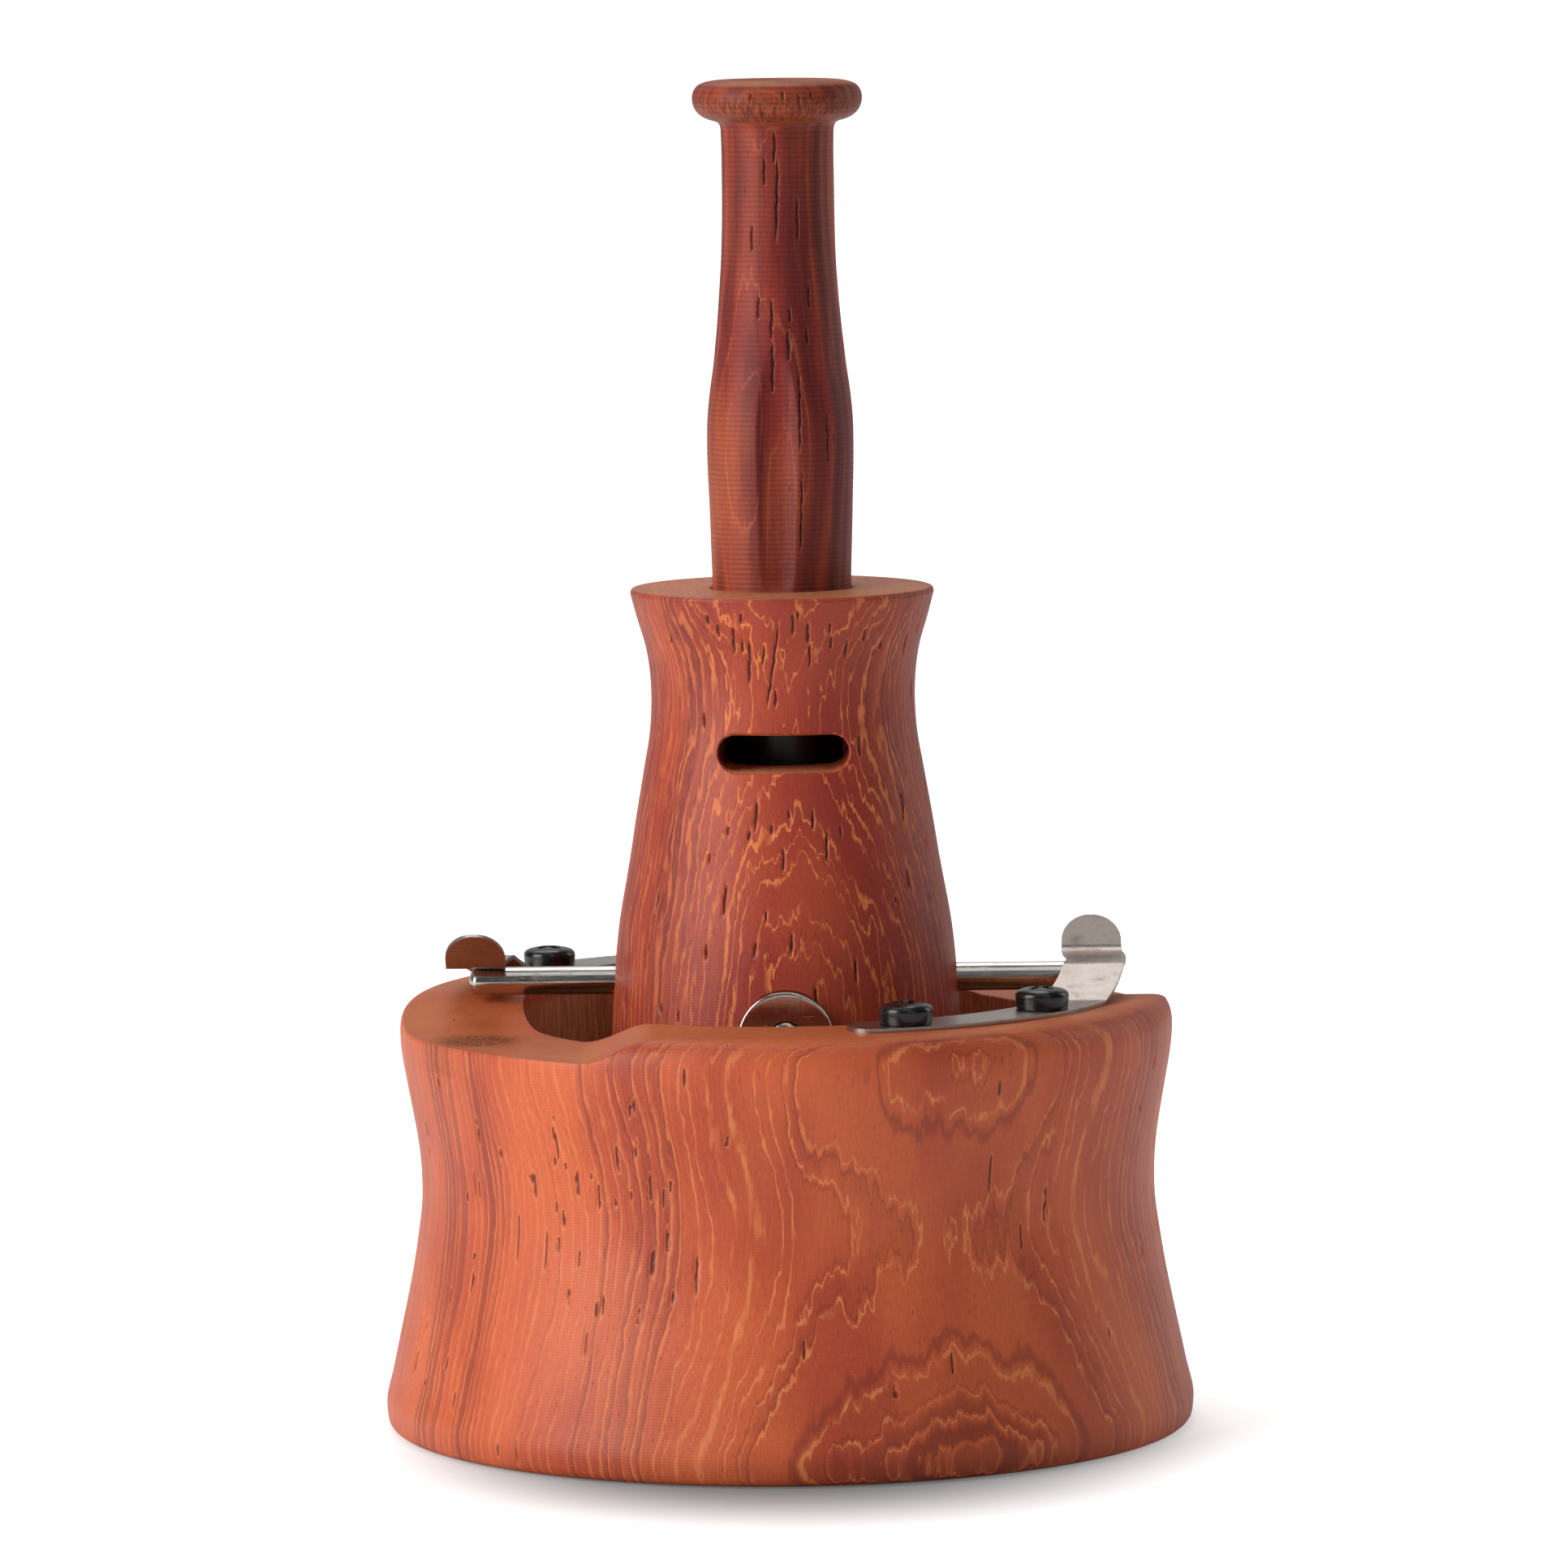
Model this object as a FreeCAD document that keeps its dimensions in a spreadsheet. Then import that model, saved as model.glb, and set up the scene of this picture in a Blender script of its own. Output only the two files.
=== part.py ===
import FreeCAD, Part
import Sketcher
import math
import os

# Duck call on a twist-lock stand.
# Frame: origin on the standing plane, on the axis of the stand; +Z up,
# -Y is the front (the side with the sound slot), +X is the right-hand strip.
# All sizes are in millimetres.

V = FreeCAD.Vector
doc = FreeCAD.newDocument("duck_call")

# ---------------------------------------------------------------- dimensions
DIMS = [
    # base pad
    ("pad_radius", 38.0), ("pad_height", 1.0), ("pad_recess_radius", 38.1),
    # stand
    ("rim_height", 45.8), ("rim_flat_radius", 37.9), ("rim_round_top_radius", 40.2),
    ("rim_round_top_height", 44.9), ("rim_side_radius", 40.95), ("rim_side_height", 42.2),
    ("well_radius", 27.9), ("well_lip", 0.8), ("well_floor", 12.0), ("well_corner", 2.0),
    ("foot_height", 0.2), ("foot_radius", 42.2), ("foot_side_radius", 42.95), ("foot_side_height", 2.9),
    # rim notch
    ("notch_depth", 2.7), ("notch_top_x", -13.5), ("notch_bottom_x", -21.5),
    # strips
    ("strip_width", 6.3), ("strip_thick", 0.45), ("strip_mid_radius", 32.9),
    ("strip_start_deg", -74.5), ("strip_split_y", -14.0), ("strip_level_y", -5.2),
    ("strip_fold_y", 4.6), ("strip_lift", 3.10), ("strip_gap", 0.06),
    ("tab_length", 4.6), ("tab_deg", 55.0), ("left_turn_deg", 177.0),
    # strip screws
    ("screw_front_deg", -68.0), ("screw_rear_deg", -36.0), ("screw_head_radius", 2.8),
    ("screw_head_height", 2.3), ("screw_shank_radius", 1.35), ("screw_shank_length", 9.0),
    ("screw_edge", 0.7), ("cross_width", 0.85), ("cross_length", 3.3), ("cross_depth", 1.2),
    # cross rod
    ("rod_radius", 1.5), ("rod_height", 47.35), ("rod_left", -33.6), ("rod_right", 34.6),
    ("rod_dome", 0.55), ("rod_hole_radius", 1.52),
    # call body
    ("call_bottom", 12.05), ("call_top", 89.0), ("call_top_radius", 16.05),
    ("socket_radius", 7.45), ("socket_ledge", 75.85), ("chamber_radius", 6.75),
    ("chamber_floor", 50.0), ("slot_height", 3.8), ("slot_width", 13.7), ("slot_centre", 72.6),
    ("slot_back_y", -2.5),
    # front disc
    ("disc_radius", 5.0), ("disc_thick", 1.0), ("disc_height", 43.2), ("disc_seat_y", -17.9),
    ("disc_x", -0.1), ("disc_screw_radius", 1.75), ("disc_screw_shank", 0.95),
    ("disc_screw_length", 7.0),
    # mouthpiece
    ("mouth_top", 142.5), ("tenon_radius", 7.35), ("tenon_bottom", 75.9),
    ("bore_radius", 3.25), ("counterbore_radius", 4.74), ("counterbore_top", 84.0),
    ("flute_radius", 3.2), ("flute_x", -0.5), ("flute_y", -9.8), ("flute_top", 112.4),
    ("flute_bottom", 90.2),
    # seals
    ("oring_mid_radius", 6.68), ("oring_section", 0.70), ("oring_upper_z", 86.0),
    ("oring_lower_z", 79.0), ("groove_radius", 5.95), ("groove_half", 0.78),
    # reed set
    ("board_radius", 4.7), ("board_bottom", 52.6), ("board_top", 83.9), ("board_face_y", 0.3),
    ("trough_half", 1.5), ("trough_depth", 2.6), ("trough_end", 55.5),
    ("reed_half", 3.8), ("reed_thick", 0.35), ("reed_bottom", 53.6), ("reed_top", 83.2),
    ("wedge_bottom", 74.6), ("wedge_top", 83.0),
]
sheet = doc.addObject("Spreadsheet::Sheet", "dims")
P = {}
for i, (name, value) in enumerate(DIMS):
    sheet.set("A%d" % (i + 1), name)
    sheet.set("B%d" % (i + 1), repr(value))
    sheet.setAlias("B%d" % (i + 1), name)
doc.recompute()
for name, value in DIMS:
    P[name] = float(sheet.get(name))


# ------------------------------------------------------------------ helpers
def body(label):
    b = doc.addObject("PartDesign::Body", label)
    b.Label = label
    return b


def plane_of(b, role):
    for f in b.Origin.OriginFeatures:
        if f.Role == role:
            return f
    raise RuntimeError("no plane " + role)


def sketch(b, role, name):
    s = b.newObject("Sketcher::SketchObject", name)
    s.AttachmentSupport = [(plane_of(b, role), "")]
    s.MapMode = "FlatFace"
    return s


def bind_point(s, geo, pos, x, y):
    """Hold one sketch point at (x, y); a string is an expression on the sheet."""
    for axis, val in (("DistanceX", x), ("DistanceY", y)):
        if isinstance(val, tuple):
            expr, num = val
        elif isinstance(val, str):
            expr, num = "dims." + val, P[val]
        else:
            expr, num = None, float(val)
        if abs(num) < 1e-9:
            s.addConstraint(Sketcher.Constraint("PointOnObject", geo, pos,
                                                -2 if axis == "DistanceX" else -1))
            continue
        c = s.addConstraint(Sketcher.Constraint(axis, -1, 1, geo, pos, num))
        if expr:
            s.setExpression("Constraints[%d]" % c, expr)


def numeric(val):
    if isinstance(val, tuple):
        return float(val[1])
    if isinstance(val, str):
        return P[val]
    return float(val)


def outline(s, points, curves=None):
    """Closed outline through points; curves[i] lists extra points of a smooth
    spline that replaces the straight run from point i to point i + 1."""
    curves = curves or {}
    n = len(points)
    pts = [V(numeric(p[0]), numeric(p[1]), 0) for p in points]
    ids = []
    for i in range(n):
        a, b = pts[i], pts[(i + 1) % n]
        if i in curves:
            through = [a] + [V(x, y, 0) for x, y in curves[i]] + [b]
            c = Part.BSplineCurve()
            c.interpolate(through)
            ids.append(s.addGeometry(c, False))
        else:
            ids.append(s.addGeometry(Part.LineSegment(a, b), False))
    for i in range(n):
        s.addConstraint(Sketcher.Constraint("Coincident", ids[i], 2, ids[(i + 1) % n], 1))
    for i in range(n):
        bind_point(s, ids[i], 1, points[i][0], points[i][1])
    return ids


def revolve(b, s, name):
    r = b.newObject("PartDesign::Revolution", name)
    r.Profile = s
    r.ReferenceAxis = (s, ["V_Axis"])
    r.Angle = 360.0
    return r


def bound(obj, **kw):
    for prop, expr in kw.items():
        if isinstance(expr, str):
            obj.setExpression(prop, expr)
        else:
            setattr(obj, prop, expr)
    return obj


def place(obj, x="0", y="0", z="0", rot=None):
    if rot is not None:
        obj.Placement = FreeCAD.Placement(V(0, 0, 0), rot)
    for axis, expr in (("x", x), ("y", y), ("z", z)):
        if expr != "0":
            obj.setExpression(".Placement.Base." + axis, expr)
    return obj


def cyl(name, radius, height, **at):
    c = doc.addObject("Part::Cylinder", name)
    bound(c, Radius=radius, Height=height)
    return place(c, **at)


def box(name, lx, ly, lz, **at):
    c = doc.addObject("Part::Box", name)
    bound(c, Length=lx, Width=ly, Height=lz)
    return place(c, **at)


def fuse(name, *shapes):
    f = doc.addObject("Part::MultiFuse", name)
    f.Shapes = list(shapes)
    return f


def cut(name, base, tool):
    f = doc.addObject("Part::Cut", name)
    f.Base = base
    f.Tool = tool
    return f


def common(name, *shapes):
    f = doc.addObject("Part::MultiCommon", name)
    f.Shapes = list(shapes)
    return f


ALONG_X = FreeCAD.Rotation(V(0, 1, 0), 90)
ALONG_MINUS_Y = FreeCAD.Rotation(V(1, 0, 0), 90)
NODES = []


def node(obj, label):
    obj.Label = label
    NODES.append((label, obj))
    return obj


# ------------------------------------------------------------------ base pad
pad = cyl("base_pad", "dims.pad_radius", "dims.pad_height")
node(pad, "base_pad")

# --------------------------------------------------------------------- stand
# Turned profile: straight flared foot, concave waist, rounded rim, deep well.
stand_turned = body("stand_turned")
s = sketch(stand_turned, "XZ_Plane", "stand_profile")
waist = [(42.72, 4.2), (42.35, 5.6), (42.0, 7.2), (41.3, 10.5), (40.56, 14.0), (39.9, 17.4),
         (39.35, 20.9), (39.02, 23.4), (38.9, 26.1), (39.0, 28.6), (39.3, 31.3), (39.88, 34.7),
         (40.5, 38.2), (40.84, 40.4)]
outline(s, [
    (0, "pad_height"),
    ("pad_recess_radius", "pad_height"),
    ("pad_recess_radius", "foot_height"),
    ("foot_radius", "foot_height"),
    ("foot_side_radius", "foot_side_height"),
    ("rim_side_radius", "rim_side_height"),
    ("rim_flat_radius", "rim_height"),
    (("dims.well_radius + dims.well_lip", P["well_radius"] + P["well_lip"]), "rim_height"),
    ("well_radius", ("dims.rim_height - dims.well_lip", P["rim_height"] - P["well_lip"])),
    ("well_radius", ("dims.well_floor + dims.well_corner", P["well_floor"] + P["well_corner"])),
    (("dims.well_radius - dims.well_corner", P["well_radius"] - P["well_corner"]), "well_floor"),
    (0, "well_floor"),
], {
    3: [(42.62, 0.55), (42.88, 1.5)],
    4: waist,
    5: [(40.9, 43.3), (40.55, 44.4), (39.9, 45.15), (39.0, 45.62)],
    7: [(P["well_radius"] + 0.24, P["rim_height"] - 0.24)],
    9: [(P["well_radius"] - 0.6, P["well_floor"] + 0.6)],
})
revolve(stand_turned, s, "stand_revolve")

# Rim notch at the front left: the overlap of a wedge seen from the side,
# which runs out towards the back, and a block seen from the front, whose
# right-hand end is a slope.
notch_side = body("notch_side")
s = sketch(notch_side, "YZ_Plane", "notch_side_profile")
zb = P["rim_height"] - P["notch_depth"]
outline(s, [(-50.0, ("dims.rim_height - dims.notch_depth", zb)),
            (-12.0, ("dims.rim_height - dims.notch_depth", zb)),
            (5.5, ("dims.rim_height + 0.02", P["rim_height"] + 0.02)),
            (5.5, ("dims.rim_height + 4", P["rim_height"] + 4)),
            (-50.0, ("dims.rim_height + 4", P["rim_height"] + 4))],
        {1: [(-7.5, zb + 0.25), (-2.5, zb + 1.05), (2.2, zb + 2.1)]})
p = notch_side.newObject("PartDesign::Pad", "notch_side_pad")
p.Profile = s
p.Length = 120.0
p.Midplane = True
notch_front = body("notch_front")
s = sketch(notch_front, "XZ_Plane", "notch_front_profile")
outline(s, [(-60.0, ("dims.rim_height - dims.notch_depth - 1", zb - 1)),
            (("dims.notch_bottom_x - 1.2", P["notch_bottom_x"] - 1.2),
             ("dims.rim_height - dims.notch_depth - 1", zb - 1)),
            ("notch_bottom_x", ("dims.rim_height - dims.notch_depth", zb)),
            ("notch_top_x", ("dims.rim_height + 0.02", P["rim_height"] + 0.02)),
            (("dims.notch_top_x + 1", P["notch_top_x"] + 1),
             ("dims.rim_height + 4", P["rim_height"] + 4)),
            (-60.0, ("dims.rim_height + 4", P["rim_height"] + 4))],
        {2: [(-19.2, zb + 0.45), (-17.2, zb + 1.2), (-15.3, zb + 2.0)]})
p = notch_front.newObject("PartDesign::Pad", "notch_front_pad")
p.Profile = s
p.Length = 120.0
p.Midplane = True
notch = common("notch_tool", notch_side, notch_front)
# The same notch again at the back right, half a turn round.
notch_back = doc.addObject("Part::Compound", "notch_tool_back")
notch_back.Links = [notch]
notch_back.Placement = FreeCAD.Placement(V(0, 0, 0), FreeCAD.Rotation(V(0, 0, 1), 180))

# Pilot holes for the four strip screws.
pilots = []
for side, turn in (("right", 0.0), ("left", 1.0)):
    for where in ("front", "rear"):
        ang = "(dims.screw_%s_deg + %g * dims.left_turn_deg)" % (where, turn)
        pilots.append(cyl("pilot_%s_%s" % (side, where), "dims.screw_shank_radius + 0.01",
                          "dims.screw_shank_length + 1.5",
                          x="dims.strip_mid_radius * cos(%s * 1 deg)" % ang,
                          y="dims.strip_mid_radius * sin(%s * 1 deg)" % ang,
                          z="dims.rim_height - dims.screw_shank_length - 0.1"))
tools = fuse("stand_tools", notch, notch_back, *pilots)
stand = cut("stand_body", stand_turned, tools)
node(stand, "stand_body")


# -------------------------------------------------------------------- strips
def sheet_profile():
    """Side outline of the bent strip in the YZ plane, as a closed wire."""
    t, z0 = P["strip_thick"], P["rim_height"]
    ys, yl, lift = P["strip_split_y"], P["strip_level_y"], P["strip_lift"]
    fold = P["strip_fold_y"]
    tab = math.radians(P["tab_deg"])
    run = P["tab_length"] * math.cos(tab)
    rise = P["tab_length"] * math.sin(tab)
    centre = [(-60.0, 0.0), (ys + 0.5, 0.0), (yl, lift), (fold, lift), (fold + run + 1.5 * math.cos(tab),
              lift + rise + 1.5 * math.sin(tab))]
    radius = 2.2
    path = [centre[0]]
    for k in range(1, len(centre) - 1):
        p0, p1, p2 = (V(c[0], c[1], 0) for c in centre[k - 1:k + 2])
        d0, d1 = (p1 - p0).normalize(), (p2 - p1).normalize()
        a0, a1 = math.atan2(d0.y, d0.x), math.atan2(d1.y, d1.x)
        turn = a1 - a0
        back = radius * math.tan(abs(turn) / 2)
        start = p1 - d0 * back
        side = 1 if turn > 0 else -1
        cen = start + V(-d0.y, d0.x, 0) * radius * side
        path.append((start.x, start.y, cen, a0, a1, side))
    path.append(centre[-1])
    half = t / 2

    def offset_edges(sign):
        """Edges of one face of the sheet, sign -1 below, +1 above."""
        edges = []
        cur = V(centre[0][0], centre[0][1] + sign * half, 0)
        for item in path[1:-1]:
            sx, sy, cen, a0, a1, side = item
            r = radius - side * sign * half
            def at(a):
                return cen + V(math.sin(a), -math.cos(a), 0) * r * side
            pa, pm, pb = at(a0), at((a0 + a1) / 2), at(a1)
            edges.append(("line", cur, pa))
            edges.append(("arc", pa, pm, pb))
            cur = pb
        d = V(centre[-1][0] - centre[-2][0], centre[-1][1] - centre[-2][1], 0).normalize()
        end = V(centre[-1][0], centre[-1][1], 0) + V(-d.y, d.x, 0) * sign * half
        edges.append(("line", cur, end))
        return edges, end

    lo, lo_end = offset_edges(-1)
    hi, hi_end = offset_edges(1)

    def yz(v):
        return V(0, v.x, v.y + z0 + half)

    shapes = []
    for group in (lo, hi):
        for e in group:
            if e[0] == "line":
                shapes.append(Part.LineSegment(yz(e[1]), yz(e[2])).toShape())
            else:
                shapes.append(Part.Arc(yz(e[1]), yz(e[2]), yz(e[3])).toShape())
    shapes.append(Part.LineSegment(yz(lo[0][1]), yz(hi[0][1])).toShape())
    shapes.append(Part.LineSegment(yz(lo_end), yz(hi_end)).toShape())
    return Part.Wire(Part.__sortEdges__(shapes))


def strip_plan():
    """Plan outline of the strip, as a tall prism."""
    mid, w = P["strip_mid_radius"], P["strip_width"]
    ri, ro = mid - w / 2, mid + w / 2
    z0 = P["rim_height"]
    a0 = math.radians(P["strip_start_deg"])
    fold = P["strip_fold_y"]
    tab = math.radians(P["tab_deg"])
    run = P["tab_length"] * math.cos(tab)
    ai, ao = math.asin(fold / ri), math.asin(fold / ro)

    def on(r, a):
        return V(r * math.cos(a), r * math.sin(a), 0)

    xi, xo = on(ri, ai).x, on(ro, ao).x
    cx, hx = (xi + xo) / 2, (xo - xi) / 2
    ry = min(hx * math.cos(tab), run - 0.2)
    ystr = fold + run - ry
    ell = [V(cx + hx * math.cos(math.pi * k / 12), ystr + ry * math.sin(math.pi * k / 12), 0)
           for k in range(13)]
    curve = Part.BSplineCurve()
    curve.interpolate(ell)
    edges = [
        Part.Arc(on(ri, a0), on(mid, a0 - 0.42 * w / mid), on(ro, a0)).toShape(),
        Part.Arc(on(ro, a0), on(ro, (a0 + ao) / 2), on(ro, ao)).toShape(),
        Part.LineSegment(on(ro, ao), ell[0]).toShape(),
        curve.toShape(),
        Part.LineSegment(ell[-1], on(ri, ai)).toShape(),
        Part.Arc(on(ri, ai), on(ri, (a0 + ai) / 2), on(ri, a0)).toShape(),
    ]
    solid = Part.Face(Part.Wire(Part.__sortEdges__(edges))).extrude(V(0, 0, 30))
    solid.translate(V(0, 0, z0 - 5))
    return solid


bent_sheet = Part.Face(sheet_profile()).extrude(V(80, 0, 0))
whole_strip = strip_plan().common(bent_sheet)
ys = P["strip_split_y"]
gap = P["strip_gap"]
front_half = Part.makeBox(100, 60, 60, V(0, ys - 60, 20))
rear_half = Part.makeBox(100, 60, 60, V(0, ys + gap, 20))
base_shape = whole_strip.common(front_half)
tongue_shape = whole_strip.common(rear_half)
for where in ("front", "rear"):
    a = math.radians(P["screw_%s_deg" % where])
    hole = Part.makeCylinder(P["screw_shank_radius"] + 0.15, 6,
                             V(P["strip_mid_radius"] * math.cos(a),
                               P["strip_mid_radius"] * math.sin(a), P["rim_height"] - 2))
    base_shape = base_shape.cut(hole)


def one_solid(shape, what):
    if len(shape.Solids) != 1:
        raise RuntimeError("%s has %d solids" % (what, len(shape.Solids)))
    return shape.Solids[0]


for side in ("right", "left"):
    for kind, shape in (("base", base_shape), ("tongue", tongue_shape)):
        f = doc.addObject("Part::Feature", "%s_strip_%s" % (side, kind))
        f.Shape = one_solid(shape, kind)
        if side == "left":
            f.Placement = FreeCAD.Placement(V(0, 0, 0),
                                            FreeCAD.Rotation(V(0, 0, 1), P["left_turn_deg"]))
        node(f, "%s_strip_%s" % (side, kind))

# -------------------------------------------------------------- strip screws
# Pan head with a cross recess and a plain shank; four alike.
for side, turn in (("right", 0.0), ("left", 1.0)):
    for where, spin in (("front", 22.0), ("rear", 40.0)):
        label = "%s_strip_%s_screw" % (side, where)
        b = body(label + "_turned")
        s = sketch(b, "XZ_Plane", label + "_profile")
        hr, hh, e = P["screw_head_radius"], P["screw_head_height"], P["screw_edge"]
        outline(s, [
            (0, ("-dims.screw_shank_length", -P["screw_shank_length"])),
            (("dims.screw_shank_radius * 0.45", P["screw_shank_radius"] * 0.45),
             ("-dims.screw_shank_length", -P["screw_shank_length"])),
            ("screw_shank_radius", ("-dims.screw_shank_length + 1.6",
                                    -P["screw_shank_length"] + 1.6)),
            ("screw_shank_radius", 0),
            ("screw_head_radius", 0),
            ("screw_head_radius", ("dims.screw_head_height - dims.screw_edge - 0.35",
                                   hh - e - 0.35)),
            (("dims.screw_head_radius - dims.screw_edge", hr - e),
             ("dims.screw_head_height - 0.2", hh - 0.2)),
            (0, "screw_head_height"),
        ], {5: [(hr - 0.12, hh - e - 0.03), (hr - 0.36, hh - 0.4)],
            6: [(hr * 0.4, hh - 0.04)]})
        revolve(b, s, label + "_revolve")
        arms = []
        for k in (0, 1):
            arm = box("%s_arm%d" % (label, k), "dims.cross_length", "dims.cross_width", "2")
            arm.Placement = FreeCAD.Placement(V(0, 0, 0), FreeCAD.Rotation(V(0, 0, 1), spin + 90 * k))
            aa = math.radians(spin + 90 * k)
            arm.setExpression(".Placement.Base.x", "-dims.cross_length / 2 * %.6f + dims.cross_width / 2 * %.6f"
                              % (math.cos(aa), math.sin(aa)))
            arm.setExpression(".Placement.Base.y", "-dims.cross_length / 2 * %.6f - dims.cross_width / 2 * %.6f"
                              % (math.sin(aa), math.cos(aa)))
            arm.setExpression(".Placement.Base.z", "dims.screw_head_height - dims.cross_depth")
            arms.append(arm)
        scr = cut(label, b, fuse(label + "_cross", *arms))
        ang = "(dims.screw_%s_deg + %g * dims.left_turn_deg)" % (where, turn)
        place(scr, x="dims.strip_mid_radius * cos(%s * 1 deg)" % ang,
              y="dims.strip_mid_radius * sin(%s * 1 deg)" % ang,
              z="dims.rim_height + dims.strip_thick")
        node(scr, label)

# ----------------------------------------------------------------- cross rod
rod_b = body("crossrod")
s = sketch(rod_b, "XZ_Plane", "rod_profile")
rr, dm = P["rod_radius"], P["rod_dome"]
xl, xr = P["rod_left"], P["rod_right"]
outline(s, [
    ("rod_left", 0),
    (("dims.rod_left + dims.rod_dome", xl + dm), "rod_radius"),
    (("dims.rod_right - dims.rod_dome", xr - dm), "rod_radius"),
    ("rod_right", 0),
], {0: [(xl + 0.06, 0.55), (xl + 0.24, 1.1)],
    2: [(xr - 0.24, 1.1), (xr - 0.06, 0.55)]})
r = rod_b.newObject("PartDesign::Revolution", "rod_revolve")
r.Profile = s
r.ReferenceAxis = (s, ["H_Axis"])
r.Angle = 360.0
rod_b.setExpression(".Placement.Base.z", "dims.rod_height")
node(rod_b, "crossrod")

# ----------------------------------------------------------------- call body
call_turned = body("call_turned")
s = sketch(call_turned, "XZ_Plane", "call_profile")
tower = [(15.72, 87.2), (15.22, 85.4), (14.62, 83.4), (14.22, 81.4), (14.02, 79.5), (13.95, 77.4),
         (14.02, 75.3), (14.25, 73.0), (14.6, 71.0), (15.2, 67.6), (15.8, 64.1), (16.35, 60.6),
         (16.98, 57.1), (17.55, 53.8), (18.1, 48.6), (18.5, 41.7), (18.75, 34.0), (19.0, 24.0),
         (19.2, 16.0)]
cr = P["chamber_radius"]
outline(s, [
    (0, "call_bottom"),
    (18.2, "call_bottom"),
    (19.25, ("dims.call_bottom + 1.2", P["call_bottom"] + 1.2)),
    ("call_top_radius", ("dims.call_top - 0.5", P["call_top"] - 0.5)),
    (("dims.call_top_radius - 0.6", P["call_top_radius"] - 0.6), "call_top"),
    (("dims.socket_radius + 0.4", P["socket_radius"] + 0.4), "call_top"),
    ("socket_radius", ("dims.call_top - 0.4", P["call_top"] - 0.4)),
    ("socket_radius", "socket_ledge"),
    ("chamber_radius", "socket_ledge"),
    ("chamber_radius", ("dims.chamber_floor + 1.5", P["chamber_floor"] + 1.5)),
    (0, "chamber_floor"),
], {1: [(18.85, P["call_bottom"] + 0.3)],
    2: tower[::-1],
    3: [(P["call_top_radius"] - 0.12, P["call_top"] - 0.16)]})
revolve(call_turned, s, "call_revolve")

# sound slot: a flat-bottomed slot with round ends, milled in from the front
sw, sh = P["slot_width"], P["slot_height"]
slot_mid = box("slot_mid", "dims.slot_width - dims.slot_height", "30 + dims.slot_back_y",
               "dims.slot_height", x="-(dims.slot_width - dims.slot_height) / 2", y="-30",
               z="dims.slot_centre - dims.slot_height / 2")
slot_l = cyl("slot_left_end", "dims.slot_height / 2", "30 + dims.slot_back_y",
             x="-(dims.slot_width - dims.slot_height) / 2", y="dims.slot_back_y",
             z="dims.slot_centre", rot=ALONG_MINUS_Y)
slot_r = cyl("slot_right_end", "dims.slot_height / 2", "30 + dims.slot_back_y",
             x="(dims.slot_width - dims.slot_height) / 2", y="dims.slot_back_y",
             z="dims.slot_centre", rot=ALONG_MINUS_Y)
rod_hole = cyl("rod_hole", "dims.rod_hole_radius", "60", x="-30", z="dims.rod_height", rot=ALONG_X)
disc_seat = cyl("disc_seat", "dims.disc_radius + 0.15", "10", x="dims.disc_x",
                y="dims.disc_seat_y", z="dims.disc_height", rot=ALONG_MINUS_Y)
disc_pilot = cyl("disc_pilot", "dims.disc_screw_shank + 0.01", "dims.disc_screw_length + 1",
                 x="dims.disc_x", y="dims.disc_seat_y + dims.disc_screw_length + 0.2",
                 z="dims.disc_height", rot=ALONG_MINUS_Y)
call_tools = fuse("call_tools", slot_mid, slot_l, slot_r, rod_hole, disc_seat, disc_pilot)
call = cut("call_body", call_turned, call_tools)
node(call, "call_body")

# ---------------------------------------------------------------- front disc
disc_b = body("front_disc_turned")
s = sketch(disc_b, "XZ_Plane", "disc_profile")
dr, dt = P["disc_radius"], P["disc_thick"]
outline(s, [
    (1.0, 0),
    (("dims.disc_radius", dr), 0),
    ("disc_radius", ("dims.disc_thick - 0.25", dt - 0.25)),
    (("dims.disc_radius - 0.25", dr - 0.25), "disc_thick"),
    (1.9, "disc_thick"),
    (1.0, ("dims.disc_thick - 0.7", dt - 0.7)),
], {2: [(dr - 0.07, dt - 0.07)]})
revolve(disc_b, s, "disc_revolve")
disc_b.Placement = FreeCAD.Placement(V(0, 0, 0), ALONG_MINUS_Y)
place(disc_b, x="dims.disc_x", y="dims.disc_seat_y", z="dims.disc_height")
node(disc_b, "front_disc")

dscrew_b = body("front_disc_screw_turned")
s = sketch(dscrew_b, "XZ_Plane", "disc_screw_profile")
outline(s, [
    (0, ("-dims.disc_screw_length", -P["disc_screw_length"])),
    (0.4, ("-dims.disc_screw_length", -P["disc_screw_length"])),
    ("disc_screw_shank", ("-dims.disc_screw_length + 1.2", -P["disc_screw_length"] + 1.2)),
    ("disc_screw_shank", ("dims.disc_thick - 0.74", dt - 0.74)),
    ("disc_screw_radius", ("dims.disc_thick - 0.02", dt - 0.02)),
    (0, ("dims.disc_thick + 0.3", dt + 0.3)),
], {4: [(1.2, dt + 0.17), (0.6, dt + 0.27)]})
revolve(dscrew_b, s, "disc_screw_revolve")
dslot = box("disc_screw_slot", "5", "0.5", "1", x="-2.5", y="-0.25", z="dims.disc_thick - 0.25")
dscrew = cut("front_disc_screw", dscrew_b, dslot)
dscrew.Placement = FreeCAD.Placement(V(0, 0, 0), ALONG_MINUS_Y)
place(dscrew, x="dims.disc_x", y="dims.disc_seat_y", z="dims.disc_height")
node(dscrew, "front_disc_screw")

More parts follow.
